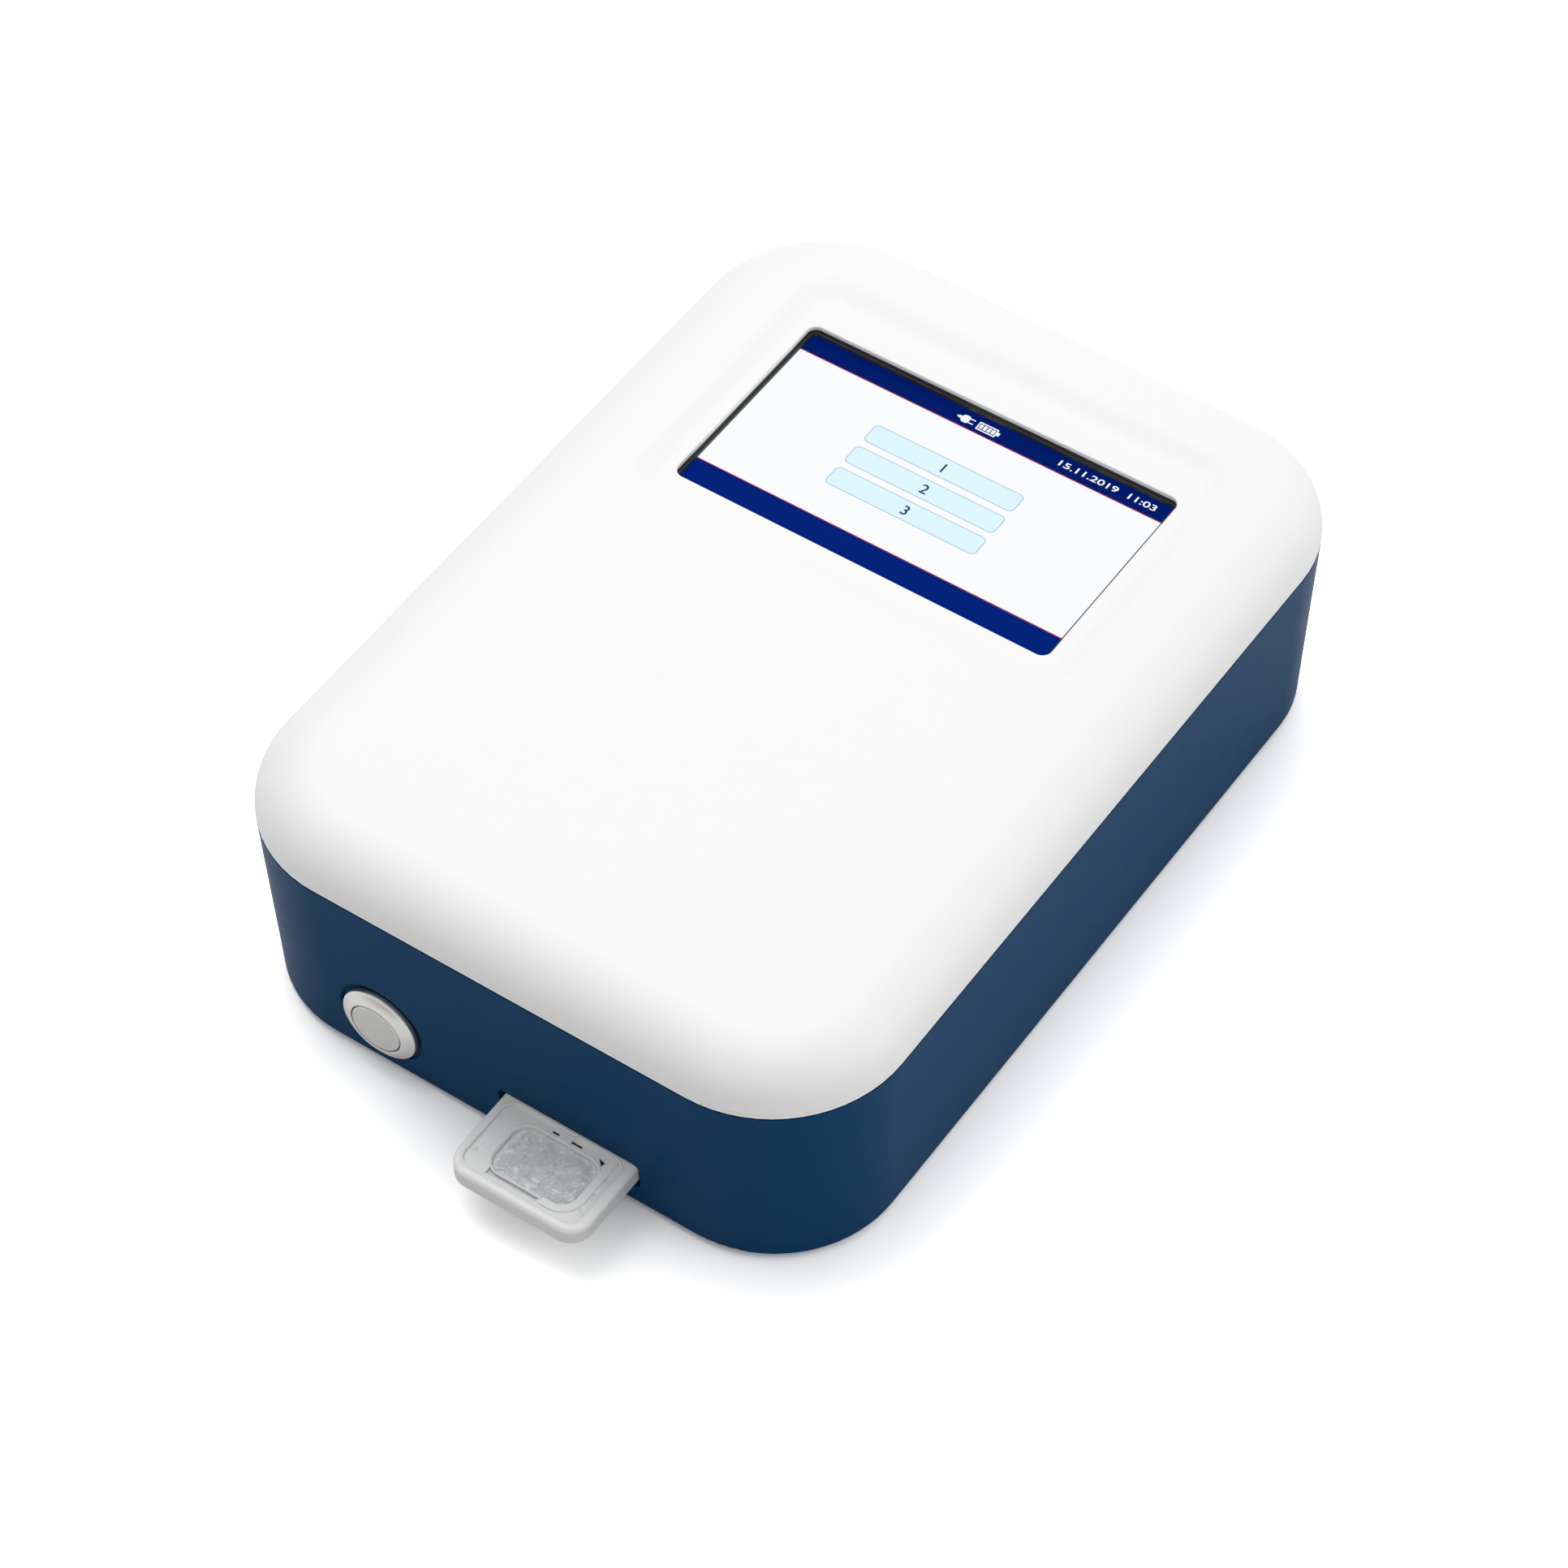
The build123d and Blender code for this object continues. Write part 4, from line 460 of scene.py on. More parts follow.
def lit_screen(name, colour, light=1.0):
    """A colour of the lit panel: pixel rows just visible, and no studio light on it."""
    finish = Finish(name, Base_Color=(0.0, 0.0, 0.0), Specular_IOR_Level=0.0, Roughness=1.0)
    px, py, _ = finish.axes()
    rows = (py / 0.00018).math("FRACT").step(0.02, 0.3)
    columns = (px / 0.00018).math("FRACT").step(0.02, 0.3)
    glow = finish.noise(18.0, 2.0)
    level = (0.97 + rows * columns * 0.03) * (0.985 + glow * 0.03)
    finish.set("Emission Color", finish.mix(level, (0.0, 0.0, 0.0), colour))
    finish.set("Emission Strength", light)
    return finish


def make_finishes():
    """Every finish of the reader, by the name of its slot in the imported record."""
    steel = (0.84, 0.83, 0.80)
    made = {
        "housing_blue": moulded(
            "housing_blue", (0.0014, 0.045, 0.126), 0.36, grain=0.0003, sheen=0.03, shade=0.04
        ),
        "cover_white": moulded("cover_white", (0.86, 0.86, 0.86), 0.42, sheen=0.4, shade=0.004),
        "gasket_black": rubbery("gasket_black", (0.02, 0.02, 0.022)),
        "foot_rubber": rubbery("foot_rubber", (0.03, 0.03, 0.032)),
        "bezel_grey": moulded("bezel_grey", (0.03, 0.0305, 0.03), 0.5, depth=0.000008),
        "display_glass": thin_glass("display_glass"),
        "display_panel": moulded("display_panel", (0.55, 0.57, 0.6), 0.4),
        "plated_steel": satin_metal("plated_steel", (0.62, 0.62, 0.6), 0.3),
        "satin_steel": turned_metal(
            "satin_steel", steel, 0.42, BUTTON_X * MM, BUTTON_Z * MM
        ),
        # the pressed part is rougher than the flange, and its colour is the flange's steel made
        # darker: painted shade, for the light its flat face catches less than the flange's cone
        "actuator_steel": turned_metal(
            "actuator_steel", tint(steel, 0.86), 0.46, BUTTON_X * MM, BUTTON_Z * MM
        ),
        "insert_brass": satin_metal("insert_brass", (0.72, 0.55, 0.25), 0.3),
        "board_green": circuit_board("board_green", (0.01, 0.07, 0.03), (0.75, 0.6, 0.35)),
        "part_black": moulded("part_black", (0.02, 0.02, 0.021), 0.5),
        "ribbon_amber": ribbon_film("ribbon_amber", (0.42, 0.2, 0.04)),
        "battery_wrap": shrink_film("battery_wrap", (0.02, 0.09, 0.2)),
        "spring_steel": satin_metal(
            "spring_steel", (0.58, 0.58, 0.57), 0.2, streaks=(1.0, 0.1, 1.0)
        ),
        "frosted_clear": frosted("frosted_clear", (0.93, 0.935, 0.92)),
        "pad_fibre": fibre_mat("pad_fibre", (0.90, 0.91, 0.90)),
        "strip_white": strip_paper("strip_white", (0.86, 0.86, 0.83), (0.45, 0.05, 0.12)),
        "bay_grey": moulded("bay_grey", (0.16, 0.17, 0.18), 0.5),
        "frame_aluminium": satin_metal(
            "frame_aluminium", (0.72, 0.72, 0.73), 0.32, streaks=(0.1, 1.0, 1.0)
        ),
        "motor_dark": moulded("motor_dark", (0.03, 0.03, 0.034), 0.35),
        "optics_black": moulded("optics_black", (0.014, 0.014, 0.015), 0.6),
        "lens_glass": optical("lens_glass", (0.97, 0.98, 1.0)),
        "filter_glass": optical("filter_glass", (0.75, 0.2, 0.05)),
    }
    return {slot: finish.material for slot, finish in made.items()}


# ---------------------------------------------------------------- mesh helpers


def loop(width, length, radius, z, y=0.0, x=0.0, corner_steps=16, side_steps=6):
    """Points of a rounded rectangle, anticlockwise from the front, in millimetres."""
    half_w, half_l = width / 2, length / 2
    points = []
    corners = [
        (half_w - radius, radius - half_l, -90),
        (half_w - radius, half_l - radius, 0),
        (radius - half_w, half_l - radius, 90),
        (radius - half_w, radius - half_l, 180),
    ]
    for i, (cx, cy, start) in enumerate(corners):
        for step in range(corner_steps + 1):
            angle = math.radians(start + 90 * step / corner_steps)
            points.append((cx + radius * math.cos(angle), cy + radius * math.sin(angle)))
        nx, ny, start = corners[(i + 1) % 4]
        angle = math.radians(start)
        end = (nx + radius * math.cos(angle), ny + radius * math.sin(angle))
        begin = points[-1]
        for step in range(1, side_steps):
            part = step / side_steps
            points.append(
                (begin[0] + (end[0] - begin[0]) * part, begin[1] + (end[1] - begin[1]) * part)
            )
    return [Vector(((px + x) * MM, (py + y) * MM, z * MM)) for px, py in points]


def skin(mesh, loops, closed=False, caps=(False, False)):
    """Quads between loops of equal length; closed joins the last loop to the first."""
    rings = [[mesh.verts.new(point) for point in points] for points in loops]
    pairs = list(zip(rings, rings[1:] + ([rings[0]] if closed else [])))
    for low, high in pairs:
        count = len(low)
        for i in range(count):
            j = (i + 1) % count
            mesh.faces.new((low[i], low[j], high[j], high[i]))
    if caps[0]:
        mesh.faces.new(rings[0][::-1])
    if caps[1]:
        mesh.faces.new(rings[-1])
    return rings


def turned_rings(profile, x, z, steps=96):
    """Loops of points round the line along Y through (x, z), from (radius, y) pairs."""
    return [
        [
            Vector(
                (
                    (x + radius * math.cos(TURN * i / steps)) * MM,
                    y * MM,
                    (z + radius * math.sin(TURN * i / steps)) * MM,
                )
            )
            for i in range(steps)
        ]
        for radius, y in profile
    ]


def arc(cx, cy, radius, start, end, steps=6):
    """Points of an arc from start to end degrees."""
    return [
        (
            cx + radius * math.cos(math.radians(start + (end - start) * i / steps)),
            cy + radius * math.sin(math.radians(start + (end - start) * i / steps)),
        )
        for i in range(steps + 1)
    ]


def placed(name, data):
    """A new object in the scene that shows the data."""
    obj = bpy.data.objects.new(name, data)
    bpy.context.scene.collection.objects.link(obj)
    return obj


def piece(name, mesh, slot, body, replaces=(), sharp=32.0, material=None):
    """An object from mesh code, with its finish, that rides on a body of the model."""
    bmesh.ops.recalc_face_normals(mesh, faces=mesh.faces)
    data = bpy.data.meshes.new(name)
    mesh.to_mesh(data)
    mesh.free()
    data.shade_smooth()
    data.set_sharp_from_angle(angle=math.radians(sharp))
    obj = placed(name, data)
    data.materials.append(material or finishes[slot])
    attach(obj, body)
    if replaces:
        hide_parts(*replaces)
    return obj


def soften(obj, angle=30.0, edge=None):
    """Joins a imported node's loose triangles, rounds its edges and smooths its curves."""
    weld = obj.modifiers.new("join", "WELD")
    weld.merge_threshold = 0.00001
    if edge:
        rounded = obj.modifiers.new("edges", "BEVEL")
        rounded.width = edge
        rounded.segments = 2
        rounded.limit_method = "ANGLE"
        rounded.angle_limit = math.radians(40.0)
        rounded.use_clamp_overlap = True
    group = smooth_group()
    smooth = obj.modifiers.new("smooth", "NODES")
    smooth.node_group = group
    for item in group.interface.items_tree:
        if item.in_out == "INPUT" and item.name == "Angle":
            smooth[item.identifier] = math.radians(angle)
    even = obj.modifiers.new("even", "WEIGHTED_NORMAL")
    even.keep_sharp = True
    even.mode = "FACE_AREA"


def smooth_group():
    """Node group that marks edges sharper than an angle and smooths the rest."""
    name = "smooth_by_angle"
    if name in bpy.data.node_groups:
        return bpy.data.node_groups[name]
    group = bpy.data.node_groups.new(name, "GeometryNodeTree")
    faces = group.interface
    faces.new_socket("Geometry", in_out="INPUT", socket_type="NodeSocketGeometry")
    faces.new_socket("Angle", in_out="INPUT", socket_type="NodeSocketFloat")
    faces.new_socket("Geometry", in_out="OUTPUT", socket_type="NodeSocketGeometry")
    nodes, links = group.nodes, group.links
    start = nodes.new("NodeGroupInput")
    end = nodes.new("NodeGroupOutput")
    angle = nodes.new("GeometryNodeInputMeshEdgeAngle")
    limit = nodes.new("FunctionNodeCompare")
    limit.operation = "LESS_EQUAL"
    by_face = nodes.new("GeometryNodeSetShadeSmooth")
    by_face.domain = "FACE"
    by_edge = nodes.new("GeometryNodeSetShadeSmooth")
    by_edge.domain = "EDGE"
    links.new(start.outputs["Geometry"], by_face.inputs["Geometry"])
    links.new(by_face.outputs["Geometry"], by_edge.inputs["Geometry"])
    links.new(angle.outputs["Unsigned Angle"], limit.inputs["A"])
    links.new(start.outputs["Angle"], limit.inputs["B"])
    links.new(limit.outputs["Result"], by_edge.inputs["Shade Smooth"])
    links.new(by_edge.outputs["Geometry"], end.inputs["Geometry"])
    return group


finishes = {}


# ---------------------------------------------------------------- settings


class ReaderCoverSettings(bpy.types.PropertyGroup):
    width: bpy.props.FloatProperty(
        name="Width", description="Across the front", default=0.182, unit="LENGTH"
    )
    length: bpy.props.FloatProperty(
        name="Length", description="Front to back", default=0.255, unit="LENGTH"
    )
    corner: bpy.props.FloatProperty(
        name="Corner", description="Plan radius of the corners", default=0.0364, unit="LENGTH"
    )
    run: bpy.props.FloatProperty(
        name="Edge run", description="Width of the rounded edge", default=0.0173, unit="LENGTH"
    )
    rise: bpy.props.FloatProperty(
        name="Edge rise", description="Height of the rounded edge", default=0.0122, unit="LENGTH"
    )
    wall: bpy.props.FloatProperty(
        name="Wall", description="Thickness of the moulding", default=0.0028, unit="LENGTH"
    )


class ReaderScreenSettings(bpy.types.PropertyGroup):
    width: bpy.props.FloatProperty(
        name="Width", description="Lit width of the panel", default=0.1168, unit="LENGTH"
    )
    length: bpy.props.FloatProperty(
        name="Length", description="Lit length of the panel", default=0.0682, unit="LENGTH"
    )
    header: bpy.props.FloatProperty(
        name="Header", description="Front edge of the band at the back", default=0.08295,
        unit="LENGTH",
    )
    footer: bpy.props.FloatProperty(
        name="Footer", description="Back edge of the band at the front", default=0.0358,
        unit="LENGTH",
    )
    button: bpy.props.FloatProperty(
        name="Button width", description="Width of the picture's buttons", default=0.0456,
        unit="LENGTH",
    )
    light: bpy.props.FloatProperty(
        name="Light", description="Strength of the panel's light", default=1.0, unit="NONE"
    )


class ReaderButtonSettings(bpy.types.PropertyGroup):
    flange: bpy.props.FloatProperty(
        name="Flange", description="Radius of the button's flange", default=0.0111,
        unit="LENGTH",
    )
    actuator: bpy.props.FloatProperty(
        name="Actuator", description="Radius of the pressed part", default=0.00735,
        unit="LENGTH",
    )
    barrel: bpy.props.FloatProperty(
        name="Barrel", description="Radius of the threaded barrel", default=0.0095,
        unit="LENGTH",
    )
    pitch: bpy.props.FloatProperty(
        name="Pitch", description="Pitch of the barrel's thread", default=0.001, unit="LENGTH"
    )


class ReaderPadSettings(bpy.types.PropertyGroup):
    width: bpy.props.FloatProperty(
        name="Width", description="Across the pad", default=0.0241, unit="LENGTH"
    )
    length: bpy.props.FloatProperty(
        name="Length", description="Front to back", default=0.0154, unit="LENGTH"
    )
    fibres: bpy.props.IntProperty(
        name="Fibres", description="Number of fibres on the pad", default=2600
    )
    fibre: bpy.props.FloatProperty(
        name="Fibre length", description="Mean length of a fibre", default=0.0026, unit="LENGTH"
    )
    seed: bpy.props.IntProperty(
        name="Seed", description="Seed of the scatter", default=7
    )


# ---------------------------------------------------------------- pieces


class ReaderFinishNodes(bpy.types.Operator):
    """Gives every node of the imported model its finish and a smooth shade"""

    bl_idname = "reader.finish_nodes"
    bl_label = "Finish the packed nodes"

    def execute(self, context):
        finishes.update(make_finishes())
        slots = {row["node"]: row["material_slot"] for row in frame["record"]["subparts"]}
        for name, obj in frame["nodes"].items():
            obj.data.materials.clear()
            obj.data.materials.append(finishes[slots[name]])
            soften(obj, edge=EDGES.get(name))
        return {"FINISHED"}


class ReaderCover(bpy.types.Operator):
    """Builds the white cover as one closed shell of even quads"""

    bl_idname = "reader.cover"
    bl_label = "Build the cover"

    def execute(self, context):
        s = context.scene.reader_cover
        width, length, corner = s.width / MM, s.length / MM, s.corner / MM
        run, rise, wall = s.run / MM, s.rise / MM, s.wall / MM

        def body(inset, z):
            return loop(width - 2 * inset, length - 2 * inset, corner - inset, z)

        def dish(shrink, z):
            radius = DISH_R - shrink * 0.8
            return loop(DISH_W - 2 * shrink, DISH_L - 2 * shrink, radius, z, y=DISH_Y)

        def opening(grow, radius, z):
            return loop(OPENING_W + 2 * grow, OPENING_L + 2 * grow, radius, z, y=DISPLAY_Y)

        # band along the bottom edge with a fine step, then the quarter ellipse to the top
        loops = [body(LIP_OUT, COVER_Z), body(0.3, COVER_Z)]
        loops += [body(0.2 - x, COVER_Z + 0.25 + z) for x, z in arc(0, 0, 0.22, -80, 0, 5)]
        loops += [
            body(0.0, COVER_Z + 1.1),
            body(0.04, COVER_Z + 1.18),
            body(0.17, COVER_Z + 1.22),
            body(0.16, COVER_Z + 1.5),
        ]
        steps = 28
        for i in range(3, steps + 1):
            angle = math.radians(90 * i / steps)
            loops.append(
                body(run * (1 - math.cos(angle)), TOP_Z - rise * (1 - math.sin(angle)))
            )
        # border of the dish, softened where it leaves the top and where it meets the rim
        for i in range(15):
            part = i / 14
            shrink = -DISH_SOFT + (DISH_BORDER + 2 * DISH_SOFT) * part
            drop = part * part * (3 - 2 * part)
            loops.append(dish(shrink, TOP_Z - (TOP_Z - RIM_Z) * drop))
        edge = OPENING_EDGE_R
        for x, z in arc(0, 0, edge, 90, 180, 4):
            loops.append(opening(edge + x, OPENING_R + edge, RIM_Z - edge + z))
        loops += [
            opening(0.0, OPENING_R, RIM_Z - OPENING_DEPTH),
            opening(LEDGE, LEDGE_R, RIM_Z - OPENING_DEPTH),
            opening(LEDGE, LEDGE_R, PANEL_Z),
            dish(1.85, PANEL_Z),
            dish(-1.0, TOP_Z - wall),
        ]
        for i in range(13):
            angle = math.radians(90 - 90 * i / 12)
            inset = wall + (run - wall) * (1 - math.cos(angle))
            loops.append(body(inset, TOP_Z - wall - (rise - wall) * (1 - math.sin(angle))))
        loops += [body(LIP_IN, LIP_TOP_Z), body(LIP_IN, LIP_END_Z), body(LIP_OUT, LIP_END_Z)]
        mesh = bmesh.new()
        skin(mesh, loops, closed=True)
        # screw bosses, open below for the inserts
        corners = [(sx * CORNER_BOSS_X, sy * CORNER_BOSS_Y) for sx in (-1, 1) for sy in (-1, 1)]
        sides = [(-SIDE_BOSS_X, 0.0), (SIDE_BOSS_X, 0.0)]
        # each row: the bosses' places, the end of the bore and the top of the boss
        for places, bore_z, top_z in ((corners, 68.3, 68.5), (sides, 67.0, 66.9)):
            rings = [
                (BOSS_BORE_R, bore_z),
                (BOSS_BORE_R, BOSS_FOOT_Z),
                (BOSS_R, BOSS_FOOT_Z),
                (BOSS_R, top_z),
            ]
            for x, y in places:
                loops = [
                    loop(2 * r, 2 * r, r * 0.999, z, y=y, x=x, corner_steps=6, side_steps=1)
                    for r, z in rings
                ]
                skin(mesh, loops, caps=(True, True))
        piece("cover_shell", mesh, "cover_white", "housing", ["top_cover"], sharp=35.0)
        return {"FINISHED"}


class ReaderButton(bpy.types.Operator):
    """Turns the button's flange with its threaded barrel, and its pressed part"""

    bl_idname = "reader.button"
    bl_label = "Turn the button"

    def execute(self, context):
        s = context.scene.reader_button
        bore, edge = s.actuator / MM + 0.25, s.flange / MM
        barrel, pitch = s.barrel / MM, s.pitch / MM
        front, back = BUTTON_FRONT_Y, FLANGE_BACK_Y
        end = back + 20.0
        # the cone swells a little between its two edges
        profile = [(bore, front + 0.2), (bore + 0.12, front + 0.05), (bore + 0.3, front)]
        for i in range(1, 10):
            part = i / 10
            swell = 0.14 * math.sin(math.pi * part)
            profile.append(
                (
                    bore + 0.3 + (edge - 0.3 - bore - 0.3) * part,
                    front + (FLANGE_EDGE_Y - front) * part - swell,
                )
            )
        profile += [
            (edge - 0.3 + x, FLANGE_EDGE_Y + 0.25 + z) for x, z in arc(0, 0, 0.3, -70, 0, 5)
        ]
        profile += [(edge, back - 0.15), (edge - 0.15, back), (barrel, back)]
        turn = back + 1.5
        while turn < end - 1.2:
            profile += [
                (barrel, turn),
                (barrel - 0.28, turn + pitch * 0.4),
                (barrel - 0.28, turn + pitch * 0.6),
            ]
            turn += pitch
        well = front + 13.0
        profile += [(barrel, turn), (barrel, end - 0.5), (barrel - 0.5, end)]
        profile += [(2.1, end), (2.1, well), (bore, well)]
        mesh = bmesh.new()
        skin(mesh, turned_rings(profile, BUTTON_X, BUTTON_Z, 128), closed=True)
        piece("button_flange", mesh, "satin_steel", "housing", ["button_bezel"], sharp=28.0)

        radius = s.actuator / MM
        profile = [(0.6 * i, front + 0.22 - 0.22 * (0.6 * i / 6.6) ** 2) for i in range(1, 12)]
        profile += [(radius - 0.5 + x, front + 0.5 + z) for x, z in arc(0, 0, 0.5, -85, 0, 7)]
        back = front + 5.0
        profile += [(radius, back - 0.3), (radius - 0.3, back), (2.0, back)]
        profile += [(2.0, end - 1.4), (1.5, end - 0.9)]
        mesh = bmesh.new()
        skin(mesh, turned_rings(profile, BUTTON_X, BUTTON_Z, 128), caps=(True, True))
        piece("button_press", mesh, "actuator_steel", "power_button", ["button_cap"], sharp=28.0)
        return {"FINISHED"}


class ReaderPad(bpy.types.Operator):
    """Scatters the glass fibres that stand out of the sample pad"""

    bl_idname = "reader.pad"
    bl_label = "Scatter the pad's fibres"

    def execute(self, context):
        s = context.scene.reader_pad
        width, length, corner = s.width / MM, s.length / MM, 4.3
        edge, side_z = 0.5, PAD_FOOT_Z + 1.0

        def mat(inset, z):
            return loop(
                width - 2 * inset,
                length - 2 * inset,
                corner - inset,
                z,
                y=PAD_Y,
                x=PAD_X,
                side_steps=24,
            )

        # soft border, then a field of loops towards the middle, with an uneven face
        loops = [mat(0.3, PAD_FOOT_Z), mat(0.0, PAD_FOOT_Z + 0.25), mat(0.0, side_z)]
        loops += [mat(edge - x, side_z + z * 1.1) for x, z in arc(0, 0, edge, 10, 90, 5)]
        loops += [mat(edge + 0.3 * i, PAD_TOP_Z) for i in range(1, 13)]
        for ring, points in enumerate(loops[8:]):
            for point in points:
                rough = noise.fractal(point * 900.0, 0.9, 2.2, 4)
                lumps = noise.noise(point * 300.0)
                point.z += (rough * 0.17 + lumps * 0.22) * MM * min(1.0, ring / 2)
        mesh = bmesh.new()
        skin(mesh, loops, caps=(True, True))
        piece("pad_mat", mesh, "pad_fibre", "cartridge", ["sample_pad"], sharp=50.0)

        # rounded lips along the lid's sunk panel and round its window: the size, corner,
        # place and radius of each
        mesh = bmesh.new()
        for lip_w, lip_l, radius, x, y, z, r in (
            (35.2, 22.1, 3.8, CART_X, -137.45, 17.88, 0.24),
            (25.3, 16.3, 4.85, PAD_X, PAD_Y, 17.26, 0.3),
        ):
            loops = [
                loop(lip_w - 2 * dx, lip_l - 2 * dx, radius - dx, z + dz, y=y, x=x)
                for dx, dz in arc(0, 0, r, 0, 180, 8)
            ]
            skin(mesh, loops, closed=True)
        piece("lid_lips", mesh, "frosted_clear", "cartridge", sharp=60.0)

        # painted shade: black blocks under the slit and the three-sided hole, standing in for the
        # shade deep in them
        mesh = bmesh.new()
        slit_shade_ends = (15.4, 17.15)
        slit_shade = [loop(8.7, 0.52, 0.2, z, y=SLIT_Y, x=PAD_X) for z in slit_shade_ends]
        skin(mesh, slit_shade, caps=(True, True))
        corners = [(28.85, -128.5), (30.8, -128.85), (30.55, -130.05)]
        hole_shade = [[Vector((x * MM, y * MM, z * MM)) for x, y in corners] for z in slit_shade_ends]
        skin(mesh, hole_shade, caps=(True, True))
        piece("lid_slit_shade", mesh, "part_black", "cartridge", sharp=30.0)

        mesh = bmesh.new()
        mesh.faces.new([mesh.verts.new(point) for point in mat(0.7, PAD_TOP_Z)])
        obj = piece("pad_fibres", mesh, "pad_fibre", "cartridge")
        group, sockets = fibre_group()
        scatter = obj.modifiers.new("fibres", "NODES")
        scatter.node_group = group
        scatter[sockets["Fibres"]] = s.fibres
        scatter[sockets["Fibre length"]] = s.fibre
        scatter[sockets["Seed"]] = s.seed
        scatter[sockets["Material"]] = finishes["pad_fibre"]
        context.view_layer.update()
        graph = context.evaluated_depsgraph_get()
        made = bpy.data.meshes.new_from_object(obj.evaluated_get(graph))
        obj.modifiers.remove(scatter)
        obj.data = made
        return {"FINISHED"}


def fibre_group():
    """Node group that lays short bent fibres at random over a face, in every direction."""
    group = bpy.data.node_groups.new("fibres", "GeometryNodeTree")
    face = group.interface
    face.new_socket("Geometry", in_out="INPUT", socket_type="NodeSocketGeometry")
    for name, kind in (
        ("Fibres", "NodeSocketInt"),
        ("Fibre length", "NodeSocketFloat"),
        ("Seed", "NodeSocketInt"),
        ("Material", "NodeSocketMaterial"),
    ):
        face.new_socket(name, in_out="INPUT", socket_type=kind)
    face.new_socket("Geometry", in_out="OUTPUT", socket_type="NodeSocketGeometry")
    sockets = {item.name: item.identifier for item in face.items_tree if item.in_out == "INPUT"}
    nodes, links = group.nodes, group.links

    def node(kind, inputs=None, **settings):
        made = nodes.new(kind)
        for name, value in settings.items():
            setattr(made, name, value)
        for name, value in (inputs or {}).items():
            if isinstance(value, bpy.types.NodeSocket):
                links.new(value, made.inputs[name])
            else:
                made.inputs[name].default_value = value
        return made

    start = node("NodeGroupInput").outputs
    half = node("ShaderNodeMath", {0: start["Fibre length"], 1: 0.5}, operation="MULTIPLY")
    low = node("ShaderNodeMath", {0: start["Fibre length"], 1: -0.5}, operation="MULTIPLY")
    rise = node("ShaderNodeMath", {0: start["Fibre length"], 1: 0.22}, operation="MULTIPLY")
    ends = [
        node("ShaderNodeCombineXYZ", {"X": low.outputs[0]}),
        node("ShaderNodeCombineXYZ", {"Y": rise.outputs[0], "Z": 0.00006}),
        node("ShaderNodeCombineXYZ", {"X": half.outputs[0]}),
    ]
    bend = node(
        "GeometryNodeCurveQuadraticBezier",
        {
            "Resolution": 5,
            "Start": ends[0].outputs[0],
            "Middle": ends[1].outputs[0],
            "End": ends[2].outputs[0],
        },
    )
    section = node("GeometryNodeCurvePrimitiveCircle", {"Resolution": 4, "Radius": 0.000035})
    tube = node(
        "GeometryNodeCurveToMesh",
        {"Curve": bend.outputs[0], "Profile Curve": section.outputs[0], "Fill Caps": True},
    )
    area = node(
        "GeometryNodeDistributePointsOnFaces",
        {"Mesh": start["Geometry"], "Density": 1.0, "Seed": start["Seed"]},
    )
    size = node("GeometryNodeAttributeStatistic", {"Geometry": start["Geometry"]}, domain="FACE")
    links.new(node("GeometryNodeInputMeshFaceArea").outputs[0], size.inputs["Attribute"])
    density = node(
        "ShaderNodeMath", {0: start["Fibres"], 1: size.outputs["Sum"]}, operation="DIVIDE"
    )
    links.new(density.outputs[0], area.inputs["Density"])
    turn = node(
        "FunctionNodeRandomValue",
        {"Min": (-0.12, -0.12, 0.0), "Max": (0.12, 0.12, TURN), "Seed": start["Seed"]},
        data_type="FLOAT_VECTOR",
    )
    scale = node(
        "FunctionNodeRandomValue", {2: 0.5, 3: 1.5, "Seed": start["Seed"]}, data_type="FLOAT"
    )
    lift = node(
        "FunctionNodeRandomValue",
        {"Min": (0.0, 0.0, -0.00008), "Max": (0.0, 0.0, 0.00012), "Seed": start["Seed"]},
        data_type="FLOAT_VECTOR",
    )
    raised = node(
        "GeometryNodeSetPosition",
        {"Geometry": area.outputs["Points"], "Offset": lift.outputs["Value"]},
    )
    laid = node(
        "GeometryNodeInstanceOnPoints",
        {
            "Points": raised.outputs[0],
            "Instance": tube.outputs[0],
            "Rotation": turn.outputs["Value"],
            "Scale": scale.outputs[1],
        },
    )
    real = node("GeometryNodeRealizeInstances", {"Geometry": laid.outputs[0]})
    coloured = node(
        "GeometryNodeSetMaterial",
        {"Geometry": real.outputs[0], "Material": start["Material"]},
    )
    end = node("NodeGroupOutput")
    links.new(coloured.outputs[0], end.inputs[0])
    return group, sockets


